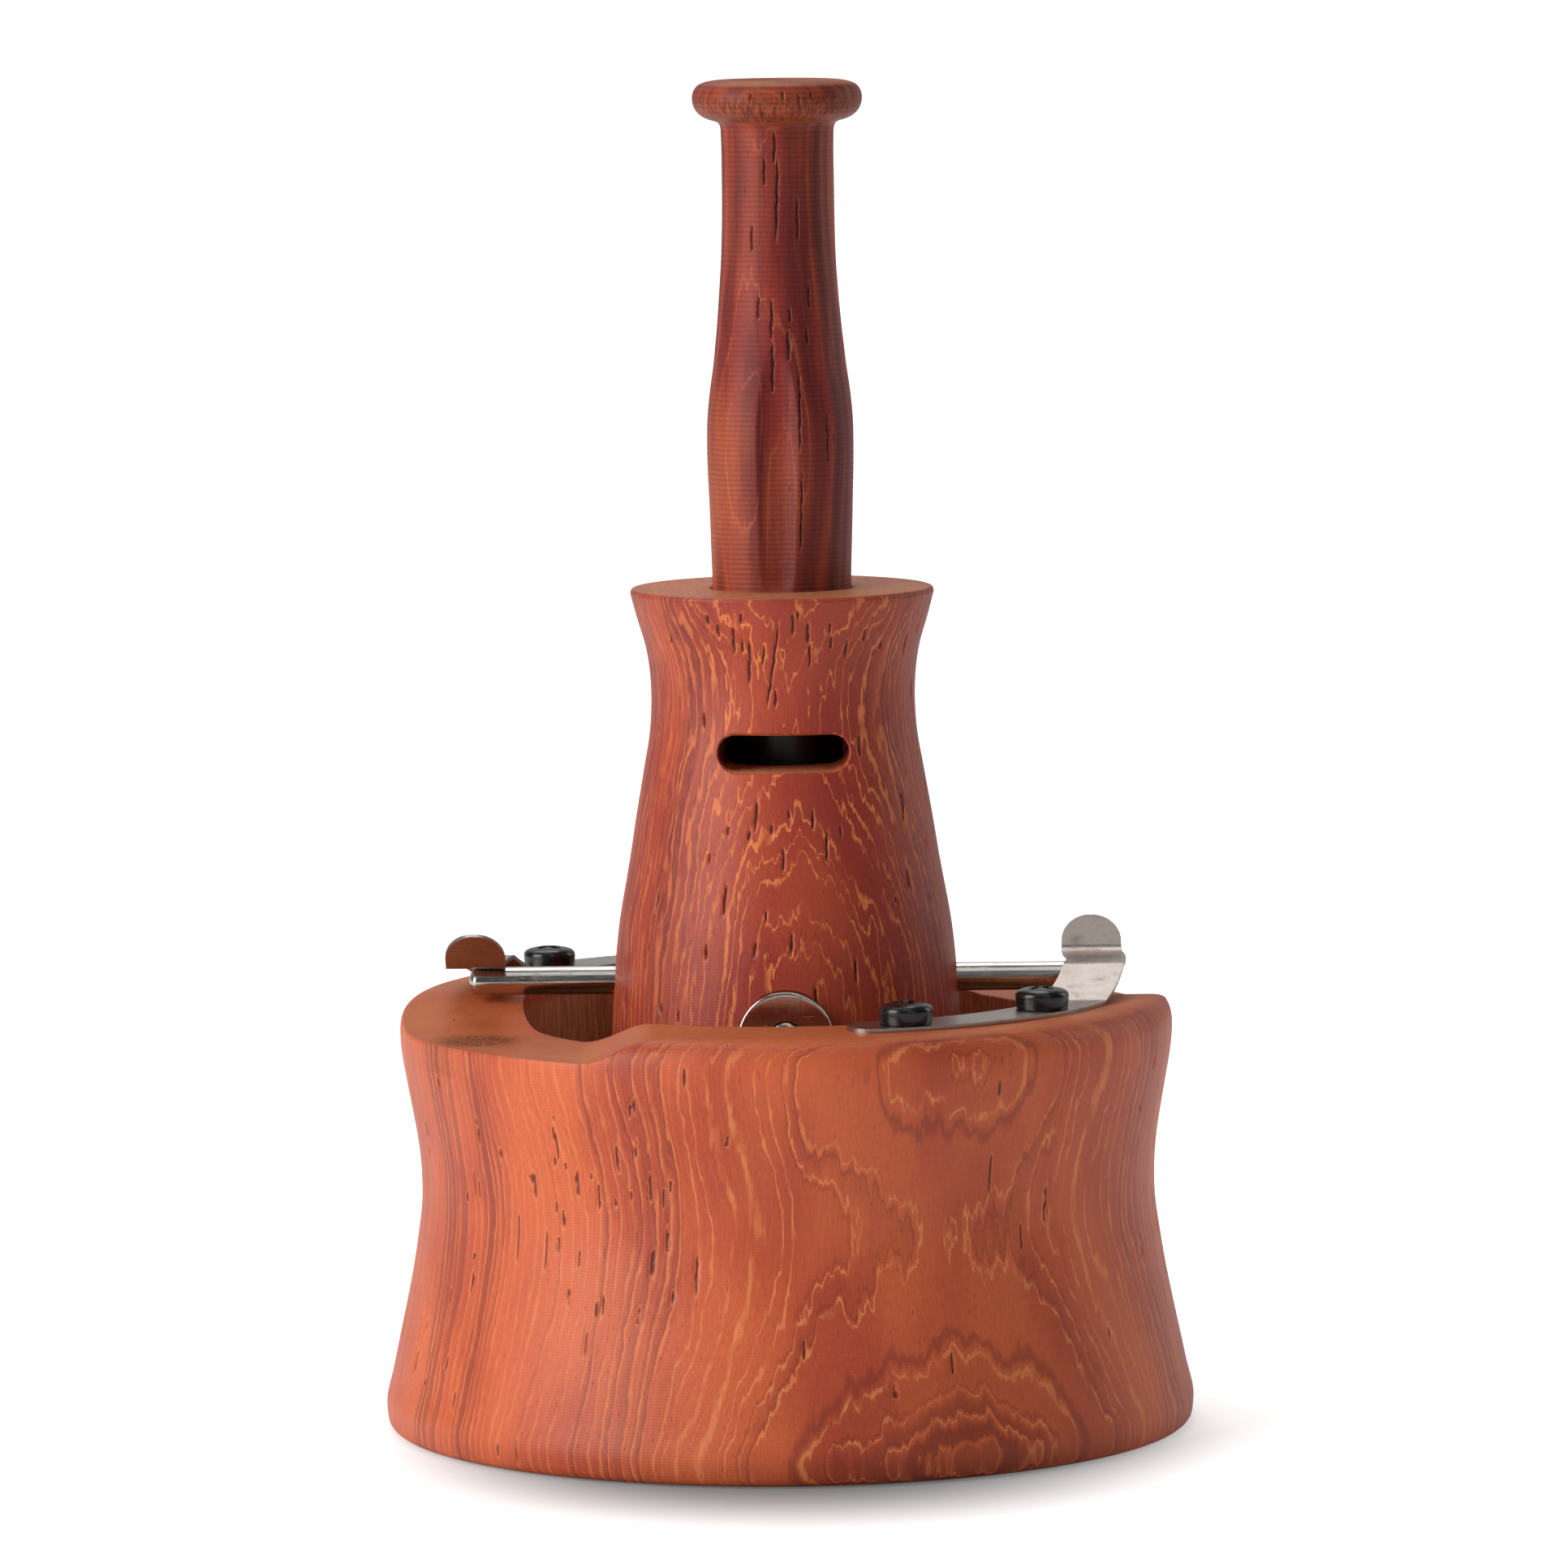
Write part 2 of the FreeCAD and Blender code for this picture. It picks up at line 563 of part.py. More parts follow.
# ---------------------------------------------------------------- mouthpiece
mouth_b = body("mouthpiece_turned")
s = sketch(mouth_b, "XZ_Plane", "mouthpiece_profile")
stem = [(7.42, 92.6), (7.5, 95.3), (7.6, 98.7), (7.7, 101.4), (7.74, 104.2), (7.66, 107.2),
        (7.48, 109.1), (7.26, 110.8), (7.0, 112.6), (6.82, 114.3), (6.63, 116.0), (6.47, 117.8),
        (6.33, 119.5), (6.21, 121.2), (6.08, 123.2), (5.99, 125.6), (5.93, 128.5), (5.91, 132.0),
        (5.91, 135.2)]
lip = [(6.35, 138.05), (7.3, 138.4), (8.25, 138.95), (8.8, 139.75), (8.95, 140.55), (8.84, 141.2),
       (8.5, 141.7)]
gz, gh = P["groove_radius"], P["groove_half"]
uz, lz = P["oring_upper_z"], P["oring_lower_z"]
outline(s, [
    ("counterbore_radius", "tenon_bottom"),
    (("dims.tenon_radius - 0.5", P["tenon_radius"] - 0.5), "tenon_bottom"),
    ("tenon_radius", ("dims.tenon_bottom + 0.5", P["tenon_bottom"] + 0.5)),
    ("tenon_radius", ("dims.oring_lower_z - dims.groove_half", lz - gh)),
    ("groove_radius", ("dims.oring_lower_z - dims.groove_half", lz - gh)),
    ("groove_radius", ("dims.oring_lower_z + dims.groove_half", lz + gh)),
    ("tenon_radius", ("dims.oring_lower_z + dims.groove_half", lz + gh)),
    ("tenon_radius", ("dims.oring_upper_z - dims.groove_half", uz - gh)),
    ("groove_radius", ("dims.oring_upper_z - dims.groove_half", uz - gh)),
    ("groove_radius", ("dims.oring_upper_z + dims.groove_half", uz + gh)),
    ("tenon_radius", ("dims.oring_upper_z + dims.groove_half", uz + gh)),
    ("tenon_radius", 90.4),
    (5.95, 137.6),
    (7.7, ("dims.mouth_top - 0.35", P["mouth_top"] - 0.35)),
    (5.2, "mouth_top"),
    (("dims.bore_radius + 0.05", P["bore_radius"] + 0.05), ("dims.mouth_top - 1.5", P["mouth_top"] - 1.5)),
    ("bore_radius", ("dims.mouth_top - 3", P["mouth_top"] - 3)),
    ("bore_radius", "counterbore_top"),
    ("counterbore_radius", "counterbore_top"),
], {11: stem,
    12: lip,
    13: [(6.6, P["mouth_top"] - 0.06)],
    14: [(4.3, P["mouth_top"] - 0.35)]})
revolve(mouth_b, s, "mouthpiece_revolve")

# shallow thumb flute down the front of the stem, with a round top end
flute_c = cyl("flute_run", "dims.flute_radius", "dims.flute_top - dims.flute_bottom",
              x="dims.flute_x", y="dims.flute_y", z="dims.flute_bottom")
flute_s = doc.addObject("Part::Sphere", "flute_end")
bound(flute_s, Radius="dims.flute_radius")
place(flute_s, x="dims.flute_x", y="dims.flute_y", z="dims.flute_top")
flute_s2 = doc.addObject("Part::Sphere", "flute_foot")
bound(flute_s2, Radius="dims.flute_radius")
place(flute_s2, x="dims.flute_x", y="dims.flute_y", z="dims.flute_bottom")
mouth = cut("mouthpiece", mouth_b, fuse("flute", flute_c, flute_s, flute_s2))
node(mouth, "mouthpiece")

for label, alias in (("upper_oring", "oring_upper_z"), ("lower_oring", "oring_lower_z")):
    o = doc.addObject("Part::Torus", label)
    bound(o, Radius1="dims.oring_mid_radius", Radius2="dims.oring_section")
    place(o, z="dims." + alias)
    node(o, label)

# ------------------------------------------------------------------ reed set
board_round = cyl("board_round", "dims.board_radius", "dims.board_top - dims.board_bottom",
                  z="dims.board_bottom")
board_flat = box("board_flat_cut", "20", "10", "60", x="-10", y="dims.board_face_y",
                 z="dims.board_bottom - 5")
trough = box("board_trough", "2 * dims.trough_half", "10", "60", x="-dims.trough_half",
             y="dims.board_face_y - dims.trough_depth", z="dims.trough_end")
board = cut("tone_board", board_round, fuse("board_tools", board_flat, trough))
node(board, "tone_board")

reed = box("reed", "2 * dims.reed_half", "dims.reed_thick", "dims.reed_top - dims.reed_bottom",
           x="-dims.reed_half", y="dims.board_face_y", z="dims.reed_bottom")
reed.Label = "reed_blank"
reed_round = cyl("reed_tip_round", "dims.reed_half", "6", y="dims.board_face_y + 3",
                 z="dims.reed_bottom + dims.reed_half", rot=ALONG_MINUS_Y)
reed_upper = box("reed_upper", "2 * dims.reed_half", "6", "60", x="-dims.reed_half",
                 y="dims.board_face_y - 3", z="dims.reed_bottom + dims.reed_half")
reed_cut = common("reed_shape", reed, fuse("reed_limit", reed_round, reed_upper))
node(reed_cut, "reed")

wedge_round = cyl("wedge_round", "dims.board_radius", "dims.wedge_top - dims.wedge_bottom",
                  z="dims.wedge_bottom")
wedge_cut = box("wedge_cut", "20", "20", "20", x="-10",
                y="dims.board_face_y + dims.reed_thick - 20", z="dims.wedge_bottom - 5")
wedge = cut("reed_wedge", wedge_round, wedge_cut)
node(wedge, "reed_wedge")

# -------------------------------------------------------------------- finish
doc.recompute()
bad = [(o.Name, list(o.State)) for o in doc.Objects
       if any(k in ("Invalid", "Error") for k in o.State)]
if bad:
    raise RuntimeError("failed objects: %s" % bad)
os.makedirs("parts", exist_ok=True)
for label, obj in NODES:
    sh = obj.Shape
    if sh.isNull() or not sh.isValid():
        raise RuntimeError("bad shape: " + label)
    bb = sh.BoundBox
    print("%-26s solids %d vol %9.2f  x %.2f..%.2f y %.2f..%.2f z %.2f..%.2f" % (
        label, len(sh.Solids), sh.Volume, bb.XMin, bb.XMax, bb.YMin, bb.YMax, bb.ZMin, bb.ZMax))
    if len(sh.Solids) != 1:
        raise RuntimeError("%s has %d solids" % (label, len(sh.Solids)))
for label, obj in NODES:
    obj.Shape.exportStep("parts/%s.step" % label)
print("nodes", len(NODES))
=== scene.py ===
import bpy, bmesh, math
import numpy as np
from mathutils import Matrix, Vector


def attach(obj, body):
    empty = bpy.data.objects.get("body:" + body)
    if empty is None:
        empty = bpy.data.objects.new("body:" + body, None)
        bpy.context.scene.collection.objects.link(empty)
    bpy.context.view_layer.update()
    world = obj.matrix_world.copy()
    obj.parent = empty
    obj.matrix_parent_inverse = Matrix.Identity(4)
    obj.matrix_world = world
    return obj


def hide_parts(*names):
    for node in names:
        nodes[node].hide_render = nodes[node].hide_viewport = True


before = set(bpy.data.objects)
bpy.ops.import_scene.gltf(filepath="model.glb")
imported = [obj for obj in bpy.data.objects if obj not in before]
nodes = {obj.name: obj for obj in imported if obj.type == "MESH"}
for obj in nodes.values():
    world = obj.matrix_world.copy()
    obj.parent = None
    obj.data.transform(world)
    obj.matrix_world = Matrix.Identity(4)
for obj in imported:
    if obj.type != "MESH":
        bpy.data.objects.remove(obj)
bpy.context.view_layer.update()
MM = 0.001
col = bpy.context.scene.collection


# =============================================================== node helper
class Graph:
    """Short names for shader nodes; every call returns an output socket."""

    def __init__(self, name):
        self.mat = bpy.data.materials.new(name)
        self.mat.use_nodes = True
        self.t = self.mat.node_tree
        self.t.nodes.clear()
        self.out = self.t.nodes.new("ShaderNodeOutputMaterial")

    def put(self, node, sock, val):
        s = node.inputs[sock]
        if isinstance(val, bpy.types.NodeSocket):
            self.t.links.new(val, s)
        elif val is not None:
            s.default_value = val

    def new(self, kind, **props):
        n = self.t.nodes.new(kind)
        for k, v in props.items():
            setattr(n, k, v)
        return n

    def m(self, op, a, b=None, c=None, clamp=False):
        n = self.new("ShaderNodeMath", operation=op, use_clamp=clamp)
        self.put(n, 0, a)
        if b is not None:
            self.put(n, 1, b)
        if c is not None:
            self.put(n, 2, c)
        return n.outputs[0]

    def coords(self):
        """Position in the row frame, in millimetres: (vector, x, y, z)."""
        tc = self.new("ShaderNodeTexCoord")
        v = self.new("ShaderNodeVectorMath", operation="SCALE")
        self.put(v, 0, tc.outputs["Object"])
        v.inputs["Scale"].default_value = 1000.0
        s = self.new("ShaderNodeSeparateXYZ")
        self.put(s, 0, v.outputs[0])
        return v.outputs[0], s.outputs[0], s.outputs[1], s.outputs[2]

    def vec(self, x, y, z):
        n = self.new("ShaderNodeCombineXYZ")
        self.put(n, 0, x)
        self.put(n, 1, y)
        self.put(n, 2, z)
        return n.outputs[0]

    def scaled(self, x, y, z, sx, sy, sz, seed=0.0):
        return self.vec(self.m("MULTIPLY_ADD", x, sx, seed), self.m("MULTIPLY_ADD", y, sy, seed * 1.7),
                        self.m("MULTIPLY_ADD", z, sz, seed * 0.6))

    def noise(self, vector, scale=1.0, detail=2.0, rough=0.5, distort=0.0):
        n = self.new("ShaderNodeTexNoise")
        self.put(n, "Vector", vector)
        n.inputs["Scale"].default_value = scale
        n.inputs["Detail"].default_value = detail
        n.inputs["Roughness"].default_value = rough
        n.inputs["Distortion"].default_value = distort
        return n.outputs["Fac"] if "Fac" in n.outputs else n.outputs[0]

    def noise1(self, w, scale=1.0, detail=1.0, rough=0.5):
        n = self.new("ShaderNodeTexNoise", noise_dimensions="1D")
        self.put(n, "W", w)
        n.inputs["Scale"].default_value = scale
        n.inputs["Detail"].default_value = detail
        n.inputs["Roughness"].default_value = rough
        return n.outputs["Fac"] if "Fac" in n.outputs else n.outputs[0]

    def cells(self, vector, scale=1.0, randomness=1.0):
        n = self.new("ShaderNodeTexVoronoi")
        self.put(n, "Vector", vector)
        n.inputs["Scale"].default_value = scale
        n.inputs["Randomness"].default_value = randomness
        return n.outputs["Distance"], n.outputs["Color"]

    def step(self, v, lo, hi, a=0.0, b=1.0):
        n = self.new("ShaderNodeMapRange", interpolation_type="SMOOTHSTEP")
        self.put(n, "Value", v)
        self.put(n, "From Min", lo)
        self.put(n, "From Max", hi)
        self.put(n, "To Min", a)
        self.put(n, "To Max", b)
        return n.outputs["Result"]

    def mix(self, fac, a, b, blend="MIX"):
        n = self.new("ShaderNodeMix", data_type="RGBA", blend_type=blend)
        self.put(n, 0, fac)
        self.put(n, 6, a)
        self.put(n, 7, b)
        return n.outputs[2]

    def attr(self, name):
        n = self.new("ShaderNodeAttribute", attribute_name=name)
        return n.outputs["Fac"]

    def bump(self, height, distance_mm, strength=1.0, normal=None):
        n = self.new("ShaderNodeBump")
        n.inputs["Strength"].default_value = strength
        n.inputs["Distance"].default_value = distance_mm * MM
        self.put(n, "Height", height)
        if normal is not None:
            self.put(n, "Normal", normal)
        return n.outputs[0]

    def shader(self, color, rough, metallic=0.0, normal=None, spec=0.5, coat=0.0, coat_rough=0.2,
               sheen=0.0, aniso=0.0, transmission=0.0):
        n = self.new("ShaderNodeBsdfPrincipled")
        self.put(n, "Base Color", color)
        self.put(n, "Roughness", rough)
        self.put(n, "Metallic", metallic)
        self.put(n, "Specular IOR Level", spec)
        self.put(n, "Coat Weight", coat)
        self.put(n, "Coat Roughness", coat_rough)
        self.put(n, "Sheen Weight", sheen)
        self.put(n, "Anisotropic", aniso)
        self.put(n, "Transmission Weight", transmission)
        if normal is not None:
            self.put(n, "Normal", normal)
        self.t.links.new(n.outputs[0], self.out.inputs[0])
        return self.mat


def srgb(r, g, b):
    def f(c):
        c /= 255.0
        return c / 12.92 if c <= 0.04045 else ((c + 0.055) / 1.055) ** 2.4
    return (f(r), f(g), f(b), 1.0)


# ================================================================= materials
def wood(name, base, warm, deep, line, direction, spacing, tilt, seed, line_amt=1.0,
         pore_amt=1.0, ring_pitch=0.3, ring_amt=0.004, streak=0.0, rough=0.42, end_grain_sheen_colour=None,
         zig=0.8, centre=(0.0, 0.0), line_w=0.27, ring_tone=0.04, spec=0.32, stem=False):
    """Oiled open-pored hardwood: growth layers cut by the turned surface, pale
    wavy lines in each layer, dark veins, long open pores and lathe marks."""
    g = Graph(name)
    p, x, y, z = g.coords()
    dx, dy = direction
    geo = g.new("ShaderNodeNewGeometry")
    gz = g.new("ShaderNodeSeparateXYZ")
    tn = g.new("ShaderNodeVectorTransform", vector_type="NORMAL", convert_from="WORLD",
               convert_to="OBJECT")
    g.put(tn, 0, geo.outputs["Normal"])
    g.put(gz, 0, tn.outputs[0])
    facing = g.m("ADD", g.m("MULTIPLY", gz.outputs[0], dx), g.m("MULTIPLY", gz.outputs[1], dy))
    slant = g.m("SQRT", g.m("SUBTRACT", 1.035, g.m("MULTIPLY", facing, facing)))
    along = g.m("ADD", g.m("MULTIPLY", g.m("SUBTRACT", x, centre[0]), dx),
                g.m("MULTIPLY", g.m("SUBTRACT", y, centre[1]), dy))
    n_big = g.noise(g.scaled(x, y, z, 0.045, 0.045, 0.020, seed), 1.0, 1.0)
    n_mid = g.noise(g.scaled(x, y, z, 0.15, 0.15, 0.030, seed + 3.1), 1.0, 2.0, 0.5)
    n_zig = g.noise(g.scaled(x, y, z, 0.62, 0.62, 0.055, seed + 7.7), 1.0, 2.0, 0.62)
    n_jag = g.noise(g.scaled(x, y, z, 2.3, 2.3, 0.55, seed + 9.3), 1.0, 2.0, 0.6)
    wob = g.m("ADD", g.m("ADD", g.m("MULTIPLY", g.m("SUBTRACT", n_big, 0.5), 5.0),
                         g.m("MULTIPLY", g.m("SUBTRACT", n_mid, 0.5), 2.4)),
              g.m("ADD", g.m("MULTIPLY", g.m("SUBTRACT", n_zig, 0.5), 1.7 * zig),
                  g.m("MULTIPLY", g.m("SUBTRACT", n_jag, 0.5), 0.46 * zig)))
    f = g.m("ADD", g.m("ADD", along, g.m("MULTIPLY", z, tilt)), wob)
    layer = g.m("DIVIDE", f, spacing)
    # uneven layer widths
    layer = g.m("ADD", layer, g.m("MULTIPLY", g.noise1(layer, 0.37, 1.0), 1.6))
    fr = g.m("FRACT", layer)
    tri = g.m("MULTIPLY", g.m("ABSOLUTE", g.m("SUBTRACT", fr, 0.5)), 2.0)
    breaks = g.noise(g.scaled(x, y, z, 0.55, 0.55, 0.16, seed + 11.0), 1.0, 2.0, 0.6)
    gap = g.m("DIVIDE", g.m("MULTIPLY", g.m("SUBTRACT", 1.0, tri), spacing * 0.5), slant)
    pale = g.m("MULTIPLY", g.step(gap, line_w, line_w * 0.22), g.step(breaks, 0.28, 0.60), clamp=True)
    tri2 = g.m("MULTIPLY", g.m("ABSOLUTE", g.m("SUBTRACT", g.m("FRACT", g.m("MULTIPLY", layer, 2.6)),
                                               0.5)), 2.0)
    gap2 = g.m("DIVIDE", g.m("MULTIPLY", g.m("SUBTRACT", 1.0, tri2), spacing * 0.19), slant)
    pale2 = g.m("MULTIPLY", g.m("MULTIPLY", g.step(gap2, 0.15, 0.04), g.step(slant, 0.35, 0.8)), 0.22)
    pale = g.m("MULTIPLY", g.m("MAXIMUM", pale, pale2), g.m("MULTIPLY", g.step(slant, 0.95, 0.45, 0.42, 1.0), line_amt),
               clamp=True)
    # colour of each zone
    zone = g.noise1(f, 0.16, 2.0, 0.6)
    patch = g.noise(g.scaled(x, y, z, 0.09, 0.09, 0.035, seed + 5.0), 1.0, 2.0)
    c = g.mix(g.step(patch, 0.36, 0.66), base, warm)
    vein = g.m("MULTIPLY", g.step(zone, 0.50, 0.66), g.step(tri, 0.95, 0.2), clamp=True)
    c = g.mix(g.m("MULTIPLY", vein, 0.62), c, deep)
    if streak:
        st = g.noise(g.scaled(x, y, z, 0.42, 0.42, 0.022, seed + 2.0), 1.0, 3.0, 0.6)
        c = g.mix(g.m("MULTIPLY", g.step(st, 0.44, 0.62), streak), c, deep)
        st2 = g.noise(g.scaled(x, y, z, 0.55, 0.55, 0.03, seed + 9.0), 1.0, 2.0, 0.5)
        c = g.mix(g.m("MULTIPLY", g.step(st2, 0.58, 0.74), streak), c, warm)
    trid = g.m("MULTIPLY", g.m("ABSOLUTE", g.m("SUBTRACT", g.m("FRACT", g.m("ADD", layer, 0.22)), 0.5)), 2.0)
    gapd = g.m("DIVIDE", g.m("MULTIPLY", g.m("SUBTRACT", 1.0, trid), spacing * 0.5), slant)
    dusk = g.m("MULTIPLY", g.step(gapd, line_w * 1.3, line_w * 0.2), g.step(zone, 0.44, 0.56), clamp=True)
    c = g.mix(g.m("MULTIPLY", dusk, 0.0 if stem else 0.40), c, deep)
    if stem:
        low = g.m("MULTIPLY", g.step(x, 0.8, -2.2), g.step(z, 114.0, 103.0))
        c = g.mix(g.m("MULTIPLY", g.m("MULTIPLY", low, g.step(n_mid, 0.40, 0.62)), 0.62), c, srgb(172, 88, 54))
    c = g.mix(g.m("MULTIPLY", pale, 0.88), c, line)
    if stem:
        torn = g.noise(g.scaled(x, y, z, 2.0, 2.0, 1.3, seed + 6.0), 1.0, 3.0, 0.7)
        c = g.mix(g.m("MULTIPLY", g.attr("lite"), g.step(torn, 0.30, 0.50)), c, srgb(226, 142, 96))
    # long fibres
    fib = g.noise(g.scaled(x, y, z, 5.5, 5.5, 0.32, seed + 1.0), 1.0, 3.0, 0.65)
    fine = g.noise(g.scaled(x, y, z, 13.0, 13.0, 1.6, seed + 4.0), 1.0, 2.0, 0.6)
    shade = g.m("ADD", g.m("MULTIPLY", g.m("SUBTRACT", fib, 0.5), 0.55),
                g.m("ADD", g.m("MULTIPLY", g.m("SUBTRACT", fine, 0.5), 0.30), 1.0))
    c = g.mix(1.0, c, g.vec(shade, shade, shade), "MULTIPLY")
    # open pores: long slots along the grain, in loose rows
    d1, rc = g.cells(g.scaled(x, y, z, 0.44, 0.44, 0.075, seed + 6.0), 1.0)
    sep = g.new("ShaderNodeSeparateColor")
    g.put(sep, 0, rc)
    keep = g.step(sep.outputs[0], 0.52, 0.56)
    rad = g.m("MULTIPLY_ADD", sep.outputs[1], 0.055, 0.035 * pore_amt)
    pore = g.m("MULTIPLY", g.m("MULTIPLY", g.step(g.m("DIVIDE", d1, rad), 1.25, 0.75), keep), pore_amt,
               clamp=True)
    halo = g.m("MULTIPLY", g.m("MULTIPLY", g.step(g.m("DIVIDE", d1, rad), 2.3, 1.2), keep), pore_amt,
               clamp=True)
    big = g.attr("pore")
    d2, rc2 = g.cells(g.scaled(x, y, z, 1.5, 1.5, 0.22, seed + 8.0), 1.0)
    small = g.m("MULTIPLY", g.step(d2, 0.13, 0.07), 0.75 * pore_amt, clamp=True)
    c = g.mix(g.m("MULTIPLY", halo, 0.16), c, line)
    c = g.mix(g.m("MULTIPLY", small, 0.55), c, deep)
    dark = (deep[0] * 0.52, deep[1] * 0.30, deep[2] * 0.36, 1.0)
    c = g.mix(g.m("MULTIPLY", g.m("MAXIMUM", pore, g.step(big, 0.35, 0.9)), 0.85), c, dark)
    c = g.mix(g.m("MULTIPLY", g.m("MULTIPLY", g.step(big, 0.03, 0.22), g.step(big, 0.55, 0.30)), 0.30),
              c, line)
    # end grain on flat faces, with fine dots: its own colour mixed with a painted sheen, painted lighter where the tops
    # catch a glancing reflection
    flat = g.step(g.m("ABSOLUTE", gz.outputs[2]), 0.80, 0.97)
    dots, _ = g.cells(g.scaled(x, y, z, 2.1, 2.1, 2.1, seed), 1.0)
    end_grain_sheen_c = g.mix(g.m("MULTIPLY", g.step(dots, 0.22, 0.08), 0.9), end_grain_sheen_colour or line, deep)
    end_grain_sheen_c = g.mix(g.m("MULTIPLY", g.noise(g.scaled(x, y, z, 1.7, 0.25, 1.0, seed), 1.0, 3.0), 0.7), end_grain_sheen_c, base)
    ochre = g.noise(g.scaled(x, y, z, 0.10, 0.10, 0.10, seed + 12.0), 1.0, 3.0, 0.6)
    end_grain_sheen_c = g.mix(g.m("MULTIPLY", g.step(ochre, 0.42, 0.62), 0.55), end_grain_sheen_c, srgb(196, 122, 62))
    c = g.mix(g.m("MULTIPLY", flat, 0.74), c, end_grain_sheen_c)
    lip = g.attr("endg")
    lipn = g.noise(g.vec(g.m("MULTIPLY", g.m("ARCTAN2", y, x), 28.0), g.m("MULTIPLY", z, 0.8), 0.0), 1.0, 3.0, 0.7)
    lipc = g.mix(g.step(lipn, 0.36, 0.62), srgb(164, 82, 48), srgb(92, 38, 28))
    c = g.mix(g.m("MULTIPLY", lip, g.step(fine, 0.30, 0.55)), c, lipc)
    # edge wear and tool burnish from the shape itself
    worn = g.attr("edge")
    c = g.mix(g.m("MULTIPLY", g.m("MULTIPLY", worn, g.step(fib, 0.42, 0.62)), 0.35), c, deep)
    scuff = g.attr("scuff")
    scn = g.noise(g.scaled(x, y, z, 2.6, 2.6, 2.6, seed), 1.0, 5.0, 0.8)
    c = g.mix(g.m("MULTIPLY", scuff, g.step(scn, 0.42, 0.52)), c,
              g.mix(g.step(g.noise(g.scaled(x, y, z, 5.5, 5.5, 5.5, seed + 2.0), 1.0, 2.0), 0.52, 0.60),
                    srgb(80, 44, 26), srgb(196, 112, 60)))
    inner = g.attr("inside")
    c = g.mix(g.m("MULTIPLY", inner, 0.72), c, g.mix(g.step(fib, 0.35, 0.65), srgb(206, 152, 104), srgb(150, 106, 68)))
    # surface
    marks = g.m("MULTIPLY", g.m("SINE", g.m("MULTIPLY_ADD", z, 2 * math.pi / ring_pitch,
                                            g.m("MULTIPLY", n_mid, 2.0))),
                g.m("SUBTRACT", 1.0, flat))
    ringc = g.m("MULTIPLY_ADD", g.m("MULTIPLY", marks, g.step(fine, 0.30, 0.62)), ring_tone, 1.0)
    c = g.mix(1.0, c, g.vec(ringc, ringc, ringc), "MULTIPLY")
    h = g.m("MULTIPLY", marks, ring_amt)
    h = g.m("ADD", h, g.m("MULTIPLY", fib, 0.030))
    h = g.m("ADD", h, g.m("MULTIPLY", fine, 0.012))
    h = g.m("SUBTRACT", h, g.m("MULTIPLY", pore, 0.16))
    h = g.m("SUBTRACT", h, g.m("MULTIPLY", small, 0.035))
    h = g.m("SUBTRACT", h, g.m("MULTIPLY", pale, 0.010))
    h = g.m("SUBTRACT", h, g.m("MULTIPLY", g.m("MULTIPLY", scn, scuff), 0.22))
    nrm = g.bump(h, 1.0, 1.0)
    ro = g.m("ADD", rough, g.m("MULTIPLY", g.m("SUBTRACT", fib, 0.5), 0.22))
    ro = g.m("ADD", ro, g.m("MULTIPLY", g.m("MAXIMUM", pore, pale), 0.14))
    ro = g.m("ADD", ro, g.m("MULTIPLY", scuff, 0.25), clamp=True)
    # specular is turned down on flat faces, whose sheen is painted into the colour above
    return g.shader(c, ro, 0.0, nrm, g.m("MULTIPLY_ADD", flat, -0.6 * spec, spec), 0.0, 0.28)


def steel(name, tint, rough, brush, wear=0.3, spots=0.15, along="ring", warm=None):
    """Metal with directional brushing, faint stains and soft scratches."""
    g = Graph(name)
    p, x, y, z = g.coords()
    if along == "x":
        bv = g.scaled(x, y, z, 0.12, brush, brush, 1.3)
    elif along == "ring":
        r = g.m("SQRT", g.m("ADD", g.m("MULTIPLY", x, x), g.m("MULTIPLY", y, y)))
        a = g.m("ARCTAN2", y, x)
        bv = g.vec(g.m("MULTIPLY", r, brush), g.m("MULTIPLY", a, 3.0), g.m("MULTIPLY", z, 2.0))
    else:
        bv = g.scaled(x, y, z, brush, brush, 0.3, 2.0)
    br = g.noise(bv, 1.0, 3.0, 0.6)
    stain = g.noise(g.scaled(x, y, z, 0.35, 0.35, 0.35, 4.0), 1.0, 4.0, 0.62)
    speck, _ = g.cells(g.scaled(x, y, z, 1.1, 1.1, 1.1, 2.0), 1.0)
    c = g.mix(g.step(br, 0.30, 0.72), tint, tuple(min(1.0, v * 1.16) for v in tint[:3]) + (1.0,))
    c = g.mix(g.m("MULTIPLY", g.step(stain, 0.48, 0.72), wear), c, warm or srgb(120, 98, 84))
    c = g.mix(g.m("MULTIPLY", g.step(speck, 0.11, 0.05), spots), c, srgb(70, 50, 40))
    sc = g.noise(g.scaled(x, y, z, 0.5, 9.0, 4.0, 8.0), 1.0, 2.0, 0.5, 0.6)
    ro = g.m("ADD", rough, g.m("MULTIPLY", g.m("SUBTRACT", br, 0.5), 0.24))
    ro = g.m("ADD", ro, g.m("MULTIPLY", g.step(stain, 0.5, 0.75), 0.16), clamp=True)
    h = g.m("ADD", g.m("MULTIPLY", br, 0.010), g.m("MULTIPLY", g.step(sc, 0.66, 0.70), -0.006))
    return g.shader(c, ro, 1.0, g.bump(h, 1.0, 0.9), 0.5, 0.0, 0.2, 0.0, 0.35)


